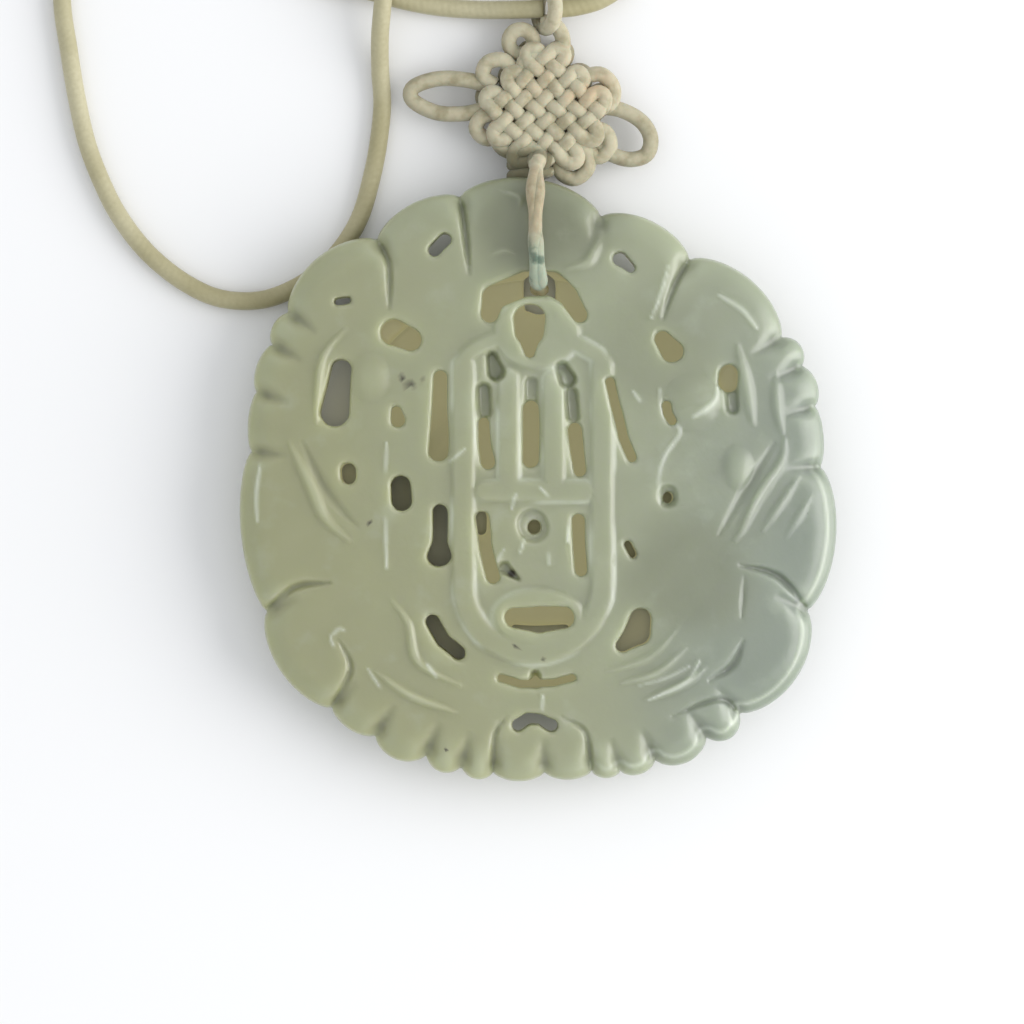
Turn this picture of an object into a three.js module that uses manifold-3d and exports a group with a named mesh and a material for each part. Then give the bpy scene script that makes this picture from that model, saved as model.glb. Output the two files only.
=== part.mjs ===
// An openwork jade pendant on a knotted cord, lying on its back.
// Millimetres, +Z up, +X to the right of the carving, +Y towards the knot.
// The carving is laid out round its own centre, and the whole group is then moved so that
// the origin lies under the middle of the pendant and its knot.

import * as THREE from 'three';
import { mergeVertices } from 'three/addons/utils/BufferGeometryUtils.js';
import Module from 'manifold-3d';

const wasm = await Module();
wasm.setup();

// ---- driving dimensions --------------------------------------------------------------

const LAYOUT_Y = -10.1;           // the carving's centre, seen from the part's origin

const FRONT_TOP = 9.0;            // height of the front face at the middle
const FRONT_FALL = 2.2;           // how much lower the front is at the rim
const RIM_MIDDLE = 5.0;           // height of the rim's outermost line
const RIM_BAND = 0.45;            // half the upright band along that line
const FRONT_ROUND = 2.6;          // how far in the front edge is rounded
const BACK_ROUND = 1.5;
const BACK_RISE = 3.2;            // how much the back is lifted at the rim
const LAND = 0.55;                // share of the radius where the back lies flat

const CAVITY_RADIUS = 20;         // hollow between the front and the back wall
const CAVITY_FLOOR = 2.3;
const CAVITY_ROOF = 6.2;
const CAVITY_SIDES = 20;

const CORD_D = 1.8;               // satin neck cord
const STRAND_D = 1.5;             // thin cord of the knot
const GAP = 0.3;                  // clearance between touching pieces

// ---- outline: lobes between cusps ----------------------------------------------------

// Each lobe ends at the cusp x, y and bulges out from the chord by the third number.
const FIRST_CUSP = [6.1, 26.1];
const LOBES = [
  [-7.7, 28.0, 2.8],     // top petal
  [-15.7, 23.8, 1.6],    // left brow
  [-24.4, 16.7, 2.4],    // left shoulder
  [-26.0, 13.6, 0.8],    // three wing tips on the left
  [-27.5, 9.0, 0.8],
  [-28.0, 3.2, 0.6],
  [-26.5, -12.4, 1.8],   // left wing
  [-20.1, -21.8, 2.2],   // left leaf
  [-15.9, -24.5, 0.9],   // tail tips along the bottom
  [-10.9, -26.4, 1.5],
  [-7.5, -27.5, 1.2],
  [-4.4, -28.1, 1.0],
  [0.6, -28.1, 0.9],
  [5.2, -28.0, 0.8],
  [8.0, -28.0, 0.7],
  [11.4, -26.9, 0.9],
  [16.4, -24.7, 1.5],
  [19.6, -22.3, 1.5],
  [26.2, -12.3, 2.8],    // right leaf
  [27.5, 1.7, 2.2],      // right wing
  [27.0, 7.6, 0.6],      // three wing tips on the right
  [25.7, 11.5, 0.9],
  [23.7, 14.3, 1.1],
  [14.7, 21.9, 2.4],     // right shoulder
  [6.1, 26.1, 1.8],      // right brow
];
const LOBE_STEP = 2.1;
const VALLEY_DEPTH = 1.5;         // how deep the groove behind each cusp is at the rim
const VALLEY_LENGTH = 4.5;

function outlinePoints(extra) {
  const points = [];
  let [ax, ay] = FIRST_CUSP;
  for (const [bx, by, bulge] of LOBES) {
    const chord = Math.hypot(bx - ax, by - ay);
    const nx = (by - ay) / chord;
    const ny = -(bx - ax) / chord;
    const steps = Math.max(2, Math.round((chord + bulge) / LOBE_STEP)) + (points.length ? 0 : extra);
    for (let i = 0; i < steps; i++) {
      const t = (1 - Math.cos(Math.PI * i / steps)) / 2 * 0.5 + 0.5 * i / steps;
      const out = bulge * Math.pow(4 * t * (1 - t), 0.7);
      points.push({ x: ax + (bx - ax) * t + nx * out, y: ay + (by - ay) * t + ny * out, cusp: i === 0 });
    }
    [ax, ay] = [bx, by];
  }
  return points;
}

// The inner rings take every second and fourth point, so the count is a multiple of four.
const OUTLINE = outlinePoints((4 - outlinePoints(0).length % 4) % 4);
for (const p of OUTLINE) {
  p.radius = Math.hypot(p.x, p.y);
  p.angle = Math.atan2(p.y, p.x);
}

// Radius of the outline in the direction of x, y.
function outlineRadius(x, y) {
  const angle = Math.atan2(y, x);
  let best = OUTLINE[0];
  let gap = Infinity;
  for (const p of OUTLINE) {
    const off = Math.abs(Math.atan2(Math.sin(p.angle - angle), Math.cos(p.angle - angle)));
    if (off < gap) {
      gap = off;
      best = p;
    }
  }
  return best.radius;
}

// ---- the two faces -------------------------------------------------------------------

const roundOff = (inward, width) => {
  const t = Math.min(Math.max(inward / width, 0), 1);
  return Math.sqrt(1 - (1 - t) * (1 - t));
};

function frontDome(share, inward) {
  const edge = RIM_MIDDLE + RIM_BAND;
  const dome = FRONT_TOP - FRONT_FALL * share * share;
  return edge + (dome - edge) * roundOff(inward, FRONT_ROUND);
}

function backDome(share, inward) {
  const edge = RIM_MIDDLE - RIM_BAND;
  const lift = Math.min(Math.max((share - LAND) / (1 - LAND), 0), 1);
  const dome = BACK_RISE * lift * lift;
  return edge + (dome - edge) * roundOff(inward, BACK_ROUND);
}

function frontHeight(x, y) {
  const radius = outlineRadius(x, y);
  const share = Math.hypot(x, y) / radius;
  return frontDome(share, radius - Math.hypot(x, y));
}

// ---- solids --------------------------------------------------------------------------

function mergeBare(geometry) {
  const bare = geometry.clone();
  bare.deleteAttribute('normal');
  bare.deleteAttribute('uv');
  return mergeVertices(bare, 1e-4);
}

function toSolid(geometry) {
  const welded = mergeBare(geometry);
  const triVerts = new Uint32Array(welded.index.array);
  const vertProperties = new Float32Array(welded.attributes.position.array);
  const solid = new wasm.Manifold(new wasm.Mesh({ numProp: 3, vertProperties, triVerts }));
  return solid;
}

function toGeometry(solid) {
  const mesh = solid.getMesh();
  const geometry = new THREE.BufferGeometry();
  const count = mesh.vertProperties.length / mesh.numProp;
  const position = new Float32Array(count * 3);
  for (let i = 0; i < count; i++) {
    for (let k = 0; k < 3; k++) {
      position[3 * i + k] = mesh.vertProperties[mesh.numProp * i + k];
    }
  }
  geometry.setAttribute('position', new THREE.BufferAttribute(position, 3));
  geometry.setIndex(new THREE.BufferAttribute(new Uint32Array(mesh.triVerts), 1));
  geometry.computeVertexNormals();
  return geometry;
}

function fromFaces(vertices, faces) {
  const geometry = new THREE.BufferGeometry();
  geometry.setAttribute('position', new THREE.Float32BufferAttribute(vertices.flat(), 3));
  geometry.setIndex(faces.flat());
  return geometry;
}

// Joins closed rings of equal or halved count into a skin and closes both ends with fans.
function skinRings(rings, bottomCentre, topCentre) {
  const vertices = [];
  const faces = [];
  const starts = rings.map((ring) => {
    const start = vertices.length;
    vertices.push(...ring);
    return start;
  });
  for (let r = 0; r + 1 < rings.length; r++) {
    const [a, b] = [starts[r], starts[r + 1]];
    const [na, nb] = [rings[r].length, rings[r + 1].length];
    if (na === nb) {
      for (let i = 0; i < na; i++) {
        const j = (i + 1) % na;
        faces.push([a + i, a + j, b + j], [a + i, b + j, b + i]);
      }
    } else if (na > nb) {
      for (let i = 0; i < nb; i++) {
        const j = (i + 1) % nb;
        faces.push([a + 2 * i, a + 2 * i + 1, b + i]);
        faces.push([a + 2 * i + 1, a + (2 * i + 2) % na, b + j]);
        faces.push([a + 2 * i + 1, b + j, b + i]);
      }
    } else {
      for (let i = 0; i < na; i++) {
        const j = (i + 1) % na;
        faces.push([a + i, b + 2 * i + 1, b + 2 * i]);
        faces.push([a + j, b + (2 * i + 2) % nb, b + 2 * i + 1]);
        faces.push([a + i, a + j, b + 2 * i + 1]);
      }
    }
  }
  const bottom = vertices.push(bottomCentre) - 1;
  const top = vertices.push(topCentre) - 1;
  const first = rings[0].length;
  for (let i = 0; i < first; i++) {
    faces.push([bottom, starts[0] + (i + 1) % first, starts[0] + i]);
  }
  const last = rings[rings.length - 1].length;
  const lastStart = starts[starts.length - 1];
  for (let i = 0; i < last; i++) {
    faces.push([top, lastStart + i, lastStart + (i + 1) % last]);
  }
  return fromFaces(vertices, faces);
}

// A ring of the jade's skin, so far in from the rim, at the height of its face.
function faceRing(inward, dome, side, every) {
  const ring = [];
  for (let i = 0; i < OUTLINE.length; i += every) {
    const p = OUTLINE[i];
    const share = 1 - inward / p.radius;
    const valley = p.cusp ? VALLEY_DEPTH * Math.max(0, 1 - inward / VALLEY_LENGTH) : 0;
    const depth = valley * roundOff(inward + 0.3, FRONT_ROUND) * side;
    ring.push([p.x * share, p.y * share, dome(share, inward) - depth]);
  }
  return ring;
}

function blankBlock() {
  const rings = [
    faceRing(20, backDome, 0, 4),
    faceRing(13, backDome, 0, 2),
    faceRing(5, backDome, 0, 1),
    faceRing(1.2, backDome, -0.5, 1),
    faceRing(0, backDome, 0, 1),
    faceRing(0, frontDome, 0, 1),
    faceRing(0.7, frontDome, 1, 1),
    faceRing(2.2, frontDome, 1, 1),
    faceRing(4.6, frontDome, 1, 1),
    faceRing(10, frontDome, 1, 2),
    faceRing(17, frontDome, 1, 4),
  ];
  return toSolid(skinRings(rings, [0, 0, 0], [0, 0, FRONT_TOP]));
}

// An upright prism over a closed 2D outline.
function prism(points, low, high) {
  const shape = new THREE.Shape(points.map(([x, y]) => new THREE.Vector2(x, y)));
  const geometry = new THREE.ExtrudeGeometry(shape, { depth: high - low, bevelEnabled: false });
  geometry.translate(0, 0, low);
  return toSolid(geometry);
}

// The outline of a broad pen stroke: a path with a width at each of its points and round ends.
function stroke(path, widths, endSides = 3) {
  const width = (i) => (Array.isArray(widths) ? widths[i] : widths) / 2;
  if (path.length === 1) {
    const sides = 8;
    return Array.from({ length: sides }, (_, i) => {
      const a = 2 * Math.PI * (i + 0.5) / sides;
      return [path[0][0] + width(0) * Math.cos(a), path[0][1] + width(0) * Math.sin(a)];
    });
  }
  const heading = path.map((_, i) => {
    const a = path[Math.max(i - 1, 0)];
    const b = path[Math.min(i + 1, path.length - 1)];
    return Math.atan2(b[1] - a[1], b[0] - a[0]);
  });
  const at = (i, turn) => [
    path[i][0] + width(i) * Math.cos(heading[i] + turn),
    path[i][1] + width(i) * Math.sin(heading[i] + turn),
  ];
  const end = path.length - 1;
  const points = [];
  for (let i = 0; i <= end; i++) {
    points.push(at(i, -Math.PI / 2));
  }
  for (let k = 1; k < endSides; k++) {
    points.push(at(end, -Math.PI / 2 + Math.PI * k / endSides));
  }
  for (let i = end; i >= 0; i--) {
    points.push(at(i, Math.PI / 2));
  }
  for (let k = 1; k < endSides; k++) {
    points.push(at(0, Math.PI / 2 + Math.PI * k / endSides));
  }
  return points;
}

// ---- piercing ------------------------------------------------------------------------

// Each hole is a pen stroke: path, width or widths. Upright, through the walls named.
const THROUGH = [
  { path: [[-10.1, 22.8], [-9.1, 23.8]], width: 1.3 },                            // left brow
  { path: [[7.9, 22.0], [8.9, 21.1]], width: [1.4, 0.9] },                        // right brow
  { path: [[-19.6, 17.8], [-18.6, 17.85]], width: 0.7 },                          // left shoulder
  { path: [[-19.25, 11.2], [-19.85, 7.0]], width: [2.0, 2.8] },                   // left window
  { path: [[-18.5, 1.3], [-18.5, 0.7]], width: 1.4 },
  { path: [[-13.4, -0.2], [-13.3, -1.6]], width: [1.9, 2.0] },
  { path: [[-9.6, -2.7], [-9.6, -5.6], [-9.6, -6.9]], width: [1.4, 1.5, 2.4] },   // keyhole
  { path: [[-10.3, -13.3], [-9.4, -15.2], [-7.8, -16.4]], width: 1.4 },           // left crescent
  { path: [[9.9, -13.2], [9.6, -14.4], [8.2, -15.7]], width: [2.2, 2.6, 1.4] },   // right crescent
  { path: [[-2.0, -23.5], [-1.0, -22.8], [0.2, -22.8], [1.2, -23.4]], width: [1.2, 1.1, 1.0, 1.3] },
  { path: [[-0.5, -4.2]], width: 1.3 },
  { path: [[12.6, -1.3]], width: 1.0 },
  { path: [[8.7, -5.9], [9.2, -6.9]], width: 0.7 },
];
const FRONT_ONLY = [
  { path: [[-14.0, 14.7], [-12.5, 14.0]], width: [2.6, 2.2] },
  { path: [[-13.9, 7.2], [-13.7, 6.2]], width: [0.9, 1.4] },
  { path: [[-9.5, 10.3], [-9.6, 6.0], [-9.8, 3.2]], width: [1.3, 1.6, 1.9] },     // outer left slot
  { path: [[-5.3, 5.9], [-5.1, 3.4], [-4.9, 2.1]], width: [1.1, 1.2, 1.4] },      // three middle slots
  { path: [[-0.75, 7.4], [-0.7, 2.3]], width: 1.5 },
  { path: [[3.5, 5.3], [3.7, 3.0], [4.0, 1.3]], width: [1.4, 1.3, 1.2] },
  { path: [[6.9, 9.9], [7.7, 7.0], [8.3, 4.5], [9.1, 2.6]], width: 0.9 },         // outer right slot
  { path: [[3.9, -3.6], [4.1, -8.4]], width: 1.2 },                               // two lower slots
  { path: [[-5.5, -3.2], [-5.2, -6.0], [-4.4, -9.0]], width: [1.2, 1.2, 1.3] },
  { path: [[-0.85, 16.0], [-0.85, 14.8], [-0.85, 12.8]], width: [3.0, 2.8, 1.0] },// ring
  { path: [[-4.7, 16.6], [-4.3, 18.2], [-1.3, 19.5], [1.3, 19.5], [2.8, 18.3], [4.0, 16.5]],
    width: [1.8, 2.4, 2.4, 2.4, 1.9, 1.5] },                                      // under the petal
  { path: [[12.0, 14.1], [13.0, 13.0]], width: [1.6, 2.2] },
  { path: [[12.5, 7.6], [12.6, 6.9], [13.0, 6.2]], width: 0.9 },
  { path: [[-2.3, -13.0], [0.1, -13.2], [2.5, -13.0]], width: [2.0, 2.7, 2.0] },  // oval
  { path: [[18.5, 10.7], [18.4, 9.9]], width: 1.9 },
  { path: [[-3.6, -18.9], [-1.8, -19.4], [1.5, -19.4], [3.3, -18.9]], width: 0.7 },
];
const BACK_ONLY = [
  { path: [[-5.65, -3.2], [-5.6, -4.4]], width: 1.1 },
  { path: [[-2.2, -14.2], [2.5, -14.2]], width: 0.9 },
  { path: [[0.1, 19.2], [0.1, 18.2]], width: 3.0 },                               // for the cord
];

// ---- relief: ridges stand out of the front, grooves are cut into it ------------------

const RIDGES = [
  { path: [[24.0, 4.6], [23.8, 2.0], [21.8, -1.3], [18.9, -5.6]], width: 1.5, height: 0.6 },  // wing edges
  { path: [[-24.6, 4.4], [-22.5, 0.3], [-20.8, -3.0], [-17.3, -6.1]], width: 2.0, height: 0.6 },
  { path: [[25.4, 0.8], [23.2, -2.6], [21.0, -5.3]], width: 1.2, height: 0.45 },
  { path: [[19.4, 13.6], [20.3, 9.6], [20.9, 5.8]], width: 1.9, height: 0.6 },                // feathers
  { path: [[23.2, 10.8], [23.3, 7.6], [23.8, 4.9]], width: 1.7, height: 0.5 },
  { path: [[-22.4, 14.0], [-23.4, 10.6], [-24.3, 6.4]], width: 1.9, height: 0.55 },
  { path: [[16.3, -17.8], [14.4, -19.4], [10.4, -21.1]], width: 1.4, height: 0.6 },           // tails
  { path: [[14.3, -16.0], [11.6, -18.4], [8.0, -19.4]], width: 1.3, height: 0.5 },
  { path: [[-15.9, -18.2], [-12.4, -20.6], [-8.0, -22.2]], width: 1.4, height: 0.6 },
  { path: [[-14.2, -14.9], [-11.6, -18.0], [-7.6, -19.6]], width: 1.3, height: 0.5 },
  { path: [[5.9, 26.0], [5.8, 23.9], [4.8, 21.6], [2.6, 20.9]], width: 1.6, height: 0.5 },    // petal
];
const GROOVES = [
  { path: [[26.4, -12.4], [24.0, -9.5], [22.3, -8.5], [19.6, -7.9]], width: 1.3, height: 0.8 },
  { path: [[-26.8, -12.5], [-25.2, -11.1], [-23.3, -9.9], [-20.2, -9.6]], width: 1.3, height: 0.8 },
  { path: [[20.0, -15.2], [18.9, -17.6], [16.6, -19.2]], width: 1.4, height: 0.7 },
  { path: [[19.9, -22.6], [17.6, -21.0], [13.0, -22.6]], width: 1.0, height: 0.6 },
  { path: [[-19.4, -15.2], [-18.3, -18.1], [-20.3, -22.0]], width: 1.2, height: 0.7 },
  { path: [[14.8, 22.1], [13.2, 19.2], [12.1, 16.0]], width: 1.2, height: 0.7 },
  { path: [[-15.8, 24.0], [-14.6, 21.3], [-14.5, 17.0]], width: 1.2, height: 0.7 },
  { path: [[-7.7, 28.2], [-7.1, 24.2], [-6.7, 20.4]], width: 1.3, height: 0.8 },
  { path: [[-3.0, -22.6], [-4.2, -24.4], [-4.5, -28.4]], width: 1.0, height: 0.6 },
  { path: [[2.2, -22.6], [4.6, -24.2], [5.2, -28.3]], width: 1.0, height: 0.6 },
];
const RELIEF_STEPS = 5;
const SINK = 1.2;                 // how far a ridge reaches into the block

// A strip that follows the front face along a path, thin at both ends.
function reliefStrip({ path, width, height }, raised) {
  const curve = new THREE.CatmullRomCurve3(path.map(([x, y]) => new THREE.Vector3(x, y, 0)));
  const section = raised
    ? [[-1, -SINK], [1, -SINK], [0.5, height], [-0.5, height]]
    : [[-1, 0.5], [0, -height], [1, 0.5]];
  const rings = [];
  for (let i = 0; i <= RELIEF_STEPS; i++) {
    const t = i / RELIEF_STEPS;
    const p = curve.getPointAt(t);
    const along = curve.getTangentAt(t);
    const slim = 0.35 + 0.65 * Math.sin(Math.PI * t);
    const base = frontHeight(p.x, p.y);
    rings.push(section.map(([side, up]) => [
      p.x - along.y * side * slim * width / 2,
      p.y + along.x * side * slim * width / 2,
      base + (up > 0 && raised ? up * slim : up),
    ]));
  }
  const ends = [rings[0], rings[RELIEF_STEPS]].map((ring) => {
    const sum = ring.reduce((s, v) => [s[0] + v[0], s[1] + v[1], s[2] + v[2]], [0, 0, 0]);
    return sum.map((v) => v / ring.length);
  });
  const solid = skinRings(rings, ends[0], ends[1]);
  return outward(solid);
}

// Turns a closed skin the right way out.
function outward(geometry) {
  const p = geometry.attributes.position;
  const index = geometry.index.array;
  let volume = 0;
  const [a, b, c] = [new THREE.Vector3(), new THREE.Vector3(), new THREE.Vector3()];
  for (let i = 0; i < index.length; i += 3) {
    a.fromBufferAttribute(p, index[i]);
    b.fromBufferAttribute(p, index[i + 1]);
    c.fromBufferAttribute(p, index[i + 2]);
    volume += a.dot(b.cross(c));
  }
  if (volume < 0) {
    for (let i = 0; i < index.length; i += 3) {
      [index[i + 1], index[i + 2]] = [index[i + 2], index[i + 1]];
    }
  }
  return toSolid(geometry);
}

// ---- the lattice in the middle -------------------------------------------------------

const BAND = { left: -7.3, right: 6.2, top: 11.5, turn: -9.8, width: 2.3 };
const LATTICE_LOW = 6.8;
const LATTICE_TOP = 9.5;
const RING = { x: -0.15, y: 14.7, rx: 4.3, ry: 3.6 };

function latticeSolids() {
  const { left, right, top, turn, width } = BAND;
  const middle = (left + right) / 2;
  const reach = (right - left) / 2;
  const path = [[left, top]];
  for (let i = 0; i <= 8; i++) {
    const a = Math.PI + Math.PI * i / 8;
    path.push([middle + reach * Math.cos(a), turn + reach * Math.sin(a)]);
  }
  path.push([right, top]);
  const band = prism(stroke(path, width, 3), LATTICE_LOW, LATTICE_TOP);
  const oval = new THREE.CylinderGeometry(1, 1, LATTICE_TOP - LATTICE_LOW, 18);
  oval.rotateX(Math.PI / 2);
  oval.scale(RING.rx, RING.ry, 1);
  oval.translate(RING.x, RING.y, (LATTICE_LOW + LATTICE_TOP) / 2);
  const rim = new THREE.CylinderGeometry(1, 1, LATTICE_TOP - LATTICE_LOW, 16);
  rim.rotateX(Math.PI / 2);
  rim.scale(4.6, 2.9, 1);
  rim.translate(0, -13.0, (LATTICE_LOW + LATTICE_TOP) / 2);
  const bars = [[-2.9, 9.3, 0.6], [1.5, 9.3, 0.6]].map(([x, high, low]) =>
    prism(stroke([[x, high], [x, low]], 1.9), LATTICE_LOW, LATTICE_TOP - 0.15));
  const beam = prism(stroke([[-4.6, -0.7], [3.6, -0.7]], 2.2), LATTICE_LOW, LATTICE_TOP - 0.15);
  return [band, toSolid(oval), toSolid(rim), beam, ...bars];
}

function bosses() {
  return [[15.0, 8.0, 3.0, 3.0], [19.4, 1.6, 1.7, 2.4], [-16.4, 10.4, 2.2, 2.6]].map(([x, y, rx, ry]) => {
    const dome = new THREE.SphereGeometry(1, 10, 5);
    dome.rotateX(Math.PI / 2);
    dome.scale(rx, ry, 1.3);
    dome.translate(x, y, frontHeight(x, y) - 0.55);
    return toSolid(dome);
  });
}

// ---- the jade ------------------------------------------------------------------------

const FAR = 12;                   // above everything
const MIDDLE_Z = 4.4;             // between the two walls

function jadeSolid() {
  let jade = blankBlock();
  for (const solid of [...latticeSolids(), ...bosses(), ...RIDGES.map((r) => reliefStrip(r, true))]) {
    jade = jade.add(solid);
  }
  for (const groove of GROOVES) {
    jade = jade.subtract(reliefStrip(groove, false));
  }
  const hollow = new THREE.CylinderGeometry(CAVITY_RADIUS, CAVITY_RADIUS, CAVITY_ROOF - CAVITY_FLOOR, CAVITY_SIDES);
  hollow.rotateX(Math.PI / 2);
  hollow.translate(0, 0, (CAVITY_ROOF + CAVITY_FLOOR) / 2);
  jade = jade.subtract(toSolid(hollow));
  for (const { path, width } of THROUGH) {
    jade = jade.subtract(prism(stroke(path, width), -1, FAR));
  }
  for (const { path, width } of FRONT_ONLY) {
    jade = jade.subtract(prism(stroke(path, width), MIDDLE_Z, FAR));
  }
  for (const { path, width } of BACK_ONLY) {
    jade = jade.subtract(prism(stroke(path, width), -1, MIDDLE_Z));
  }
  const channel = prism([[-1.3, 17.0], [1.5, 17.0], [1.5, 33.0], [-1.3, 33.0]], -1, STRAND_D + 2 * GAP);
  return jade.subtract(channel);
}

// ---- tubes ---------------------------------------------------------------------------

function tube(points, diameter, sides, steps) {
  const path = new THREE.CatmullRomCurve3(points.map((p) => new THREE.Vector3(...p)));
  const section = Array.from({ length: sides }, (_, i) => {
    const a = 2 * Math.PI * i / sides;
    return new THREE.Vector2(Math.cos(a), Math.sin(a)).multiplyScalar(diameter / 2);
  });
  return new THREE.ExtrudeGeometry(new THREE.Shape(section), { steps, extrudePath: path });
}

// ---- the knot ------------------------------------------------------------------------

const WEAVE = { x: 0.6, y: 36.5, cells: 6, side: 10.2, low: 0, high: 4.3, dip: 0.9 };
const KNOT_SIDES = 6;
const EARS = [
  [[-4.6, 39.0, 2.2], [-7.2, 39.6, 2.2], [-9.8, 39.7, 2.1], [-12.2, 38.9, 2.0], [-12.3, 37.6, 2.0],
    [-10.0, 36.4, 2.1], [-7.2, 36.3, 2.2], [-4.6, 36.9, 2.2]],
  [[6.0, 37.0, 2.2], [8.2, 36.6, 2.2], [10.1, 35.5, 2.1], [11.0, 33.9, 2.0], [10.6, 32.3, 2.0],
    [9.0, 31.8, 2.1], [7.2, 32.3, 2.2], [5.4, 33.6, 2.2]],
];
const TOP_LOOP = { x: -1.5, y: 43.1, z: 2.5, radius: 1.35 };
const HANGER = { x: 0.8, y: 46.5, z: 2.7, radius: CORD_D / 2 + GAP + STRAND_D / 2 - 0.05 };
// U-turns of the cord along the edges of the woven square
const TURNS = [[-3.6, 40.8], [-5.8, 34.6], [-3.2, 32.6], [3.0, 31.3], [5.6, 32.0], [6.5, 38.6], [4.1, 41.0]];
const TOP_STRAND = [[3.0, 40.8, 2.6], [3.0, 42.8, 2.7], [2.0, 44.3, 2.7], [0.9, 44.9, 2.7]];
const BINDING = { x: -0.8, top: 32.8, bottom: 30.0, width: 4.4, high: 3.9 };
const STRAND = [
  [-0.1, 32.4, 3.2], [-0.15, 31.2, 5.0], [-0.25, 30.2, 6.6], [-0.3, 28.7, 7.9], [-0.3, 27.0, 8.35],
  [-0.3, 24.4, 8.75], [-0.2, 22.4, 8.95], [-0.1, 20.9, 9.05], [0.0, 19.8, 8.3], [0.1, 19.4, 6.2],
  [0.1, 19.1, 3.8], [0.1, 19.3, 1.9], [0.1, 20.8, 1.0], [0.1, 24.0, 1.0], [0.1, 28.0, 1.0], [0.1, 31.5, 1.6],
];

function wovenSquare() {
  const { x, y, cells, side, low, high, dip } = WEAVE;
  const pitch = side / cells;
  const vertices = [];
  const faces = [];
  const place = (u, v, z) => vertices.push([x + (u - v) * Math.SQRT1_2, y + (u + v) * Math.SQRT1_2, z]) - 1;
  const sheet = (level, bump, flip) => {
    const grid = [];
    for (let i = 0; i <= cells; i++) {
      grid.push([]);
      for (let j = 0; j <= cells; j++) {
        grid[i].push(place(i * pitch - side / 2, j * pitch - side / 2, level));
      }
    }
    for (let i = 0; i < cells; i++) {
      for (let j = 0; j < cells; j++) {
        const c = place((i + 0.5) * pitch - side / 2, (j + 0.5) * pitch - side / 2, bump);
        const corners = [grid[i][j], grid[i + 1][j], grid[i + 1][j + 1], grid[i][j + 1]];
        corners.forEach((a, k) => {
          const b = corners[(k + 1) % 4];
          faces.push(flip ? [b, a, c] : [a, b, c]);
        });
      }
    }
    return grid;
  };
  const top = sheet(high - dip, high, false);
  const under = sheet(low + dip, low, true);
  const edge = (grid) => [
    ...grid.slice(0, cells).map((row) => row[0]),
    ...grid[cells].slice(0, cells),
    ...grid.slice(1).map((row) => row[cells]).reverse(),
    ...grid[0].slice(1).reverse(),
  ];
  const [upper, lower] = [edge(top), edge(under)];
  upper.forEach((a, i) => {
    const j = (i + 1) % upper.length;
    faces.push([lower[i], lower[j], upper[j]], [lower[i], upper[j], a]);
  });
  return outward(fromFaces(vertices, faces));
}

function ring(radius, { x, y, z }, upright) {
  const torus = new THREE.TorusGeometry(radius, STRAND_D / 2, KNOT_SIDES, 10);
  if (upright) {
    torus.rotateY(Math.PI / 2);
  }
  torus.translate(x, y, z);
  return toSolid(torus);
}

function knotSolid() {
  let knot = wovenSquare();
  const add = (solid) => {
    knot = knot.add(solid);
  };
  for (const ear of EARS) {
    add(toSolid(tube(ear, STRAND_D, KNOT_SIDES, 10)));
  }
  for (const [x, y] of TURNS) {
    const turn = new THREE.SphereGeometry(1, 6, 4);
    turn.rotateX(Math.PI / 2);
    turn.scale(1.4, 1.4, 1.7);
    turn.translate(x, y, 2.1);
    add(toSolid(turn));
  }
  add(ring(TOP_LOOP.radius, TOP_LOOP, false));
  add(ring(HANGER.radius, HANGER, true));
  add(toSolid(tube(TOP_STRAND, STRAND_D, KNOT_SIDES, 4)));
  const { x, top, bottom, width, high } = BINDING;
  const binding = new THREE.CylinderGeometry(width / 2, width / 2 - 0.3, top - bottom, 8);
  binding.scale(1, 1, high / width);
  binding.translate(x, (top + bottom) / 2, high / 2 + 0.1);
  add(toSolid(binding));
  add(toSolid(tube(STRAND, STRAND_D, KNOT_SIDES, 18)));
  return knot;
}

// ---- the neck cord -------------------------------------------------------------------

const FLOOR = CORD_D / 2 + 0.03;  // height of a cord's centre on the surface
const CORD_SIDES = 8;
const CORD_STEP = 5;
const COIL = { x: -5, y: 63.5, inner: 7.3, outer: 12.7, high: 3.5 };

// From the hanger to the left, round one loose loop, down past the jade and back up.
const RUN = [
  [0.55, 46.5, HANGER.z], [-2.5, 46.45, 2.2], [-6.0, 46.5, 1.3], [-9.8, 46.8, FLOOR], [-13.5, 47.5, FLOOR],
  [-17.2, 48.5, FLOOR], [-21.5, 49.2, FLOOR], [-25.0, 51.8, FLOOR], [-25.2, 56.0, FLOOR],
  [-22.0, 58.9, FLOOR], [-18.0, 58.0, 1.0], [-15.6, 54.6, 1.8], [-15.1, 50.8, 2.9], [-15.2, 47.4, 3.2],
  [-15.5, 43.9, 2.3], [-15.5, 40.6, 1.2], [-15.3, 37.2, FLOOR], [-15.7, 33.3, FLOOR], [-16.4, 29.8, FLOOR],
  [-17.4, 26.4, FLOOR], [-18.9, 23.7, FLOOR], [-20.9, 21.4, FLOOR], [-23.4, 19.5, FLOOR],
  [-27.0, 18.1, FLOOR], [-31.1, 18.2, FLOOR], [-34.7, 19.8, FLOOR], [-38.2, 22.6, FLOOR],
  [-40.9, 26.0, FLOOR], [-42.7, 29.4, FLOOR], [-44.2, 33.3, FLOOR], [-45.2, 37.6, FLOOR],
  [-46.0, 42.4, FLOOR], [-46.7, 48.0, FLOOR], [-46.0, 55.0, FLOOR], [-41.5, 63.0, FLOOR],
  [-33.0, 70.0, FLOOR], [-22.0, 74.8, FLOOR], [-12.5, 77.1, FLOOR], [-7.0, 77.5, FLOOR],
];
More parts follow.
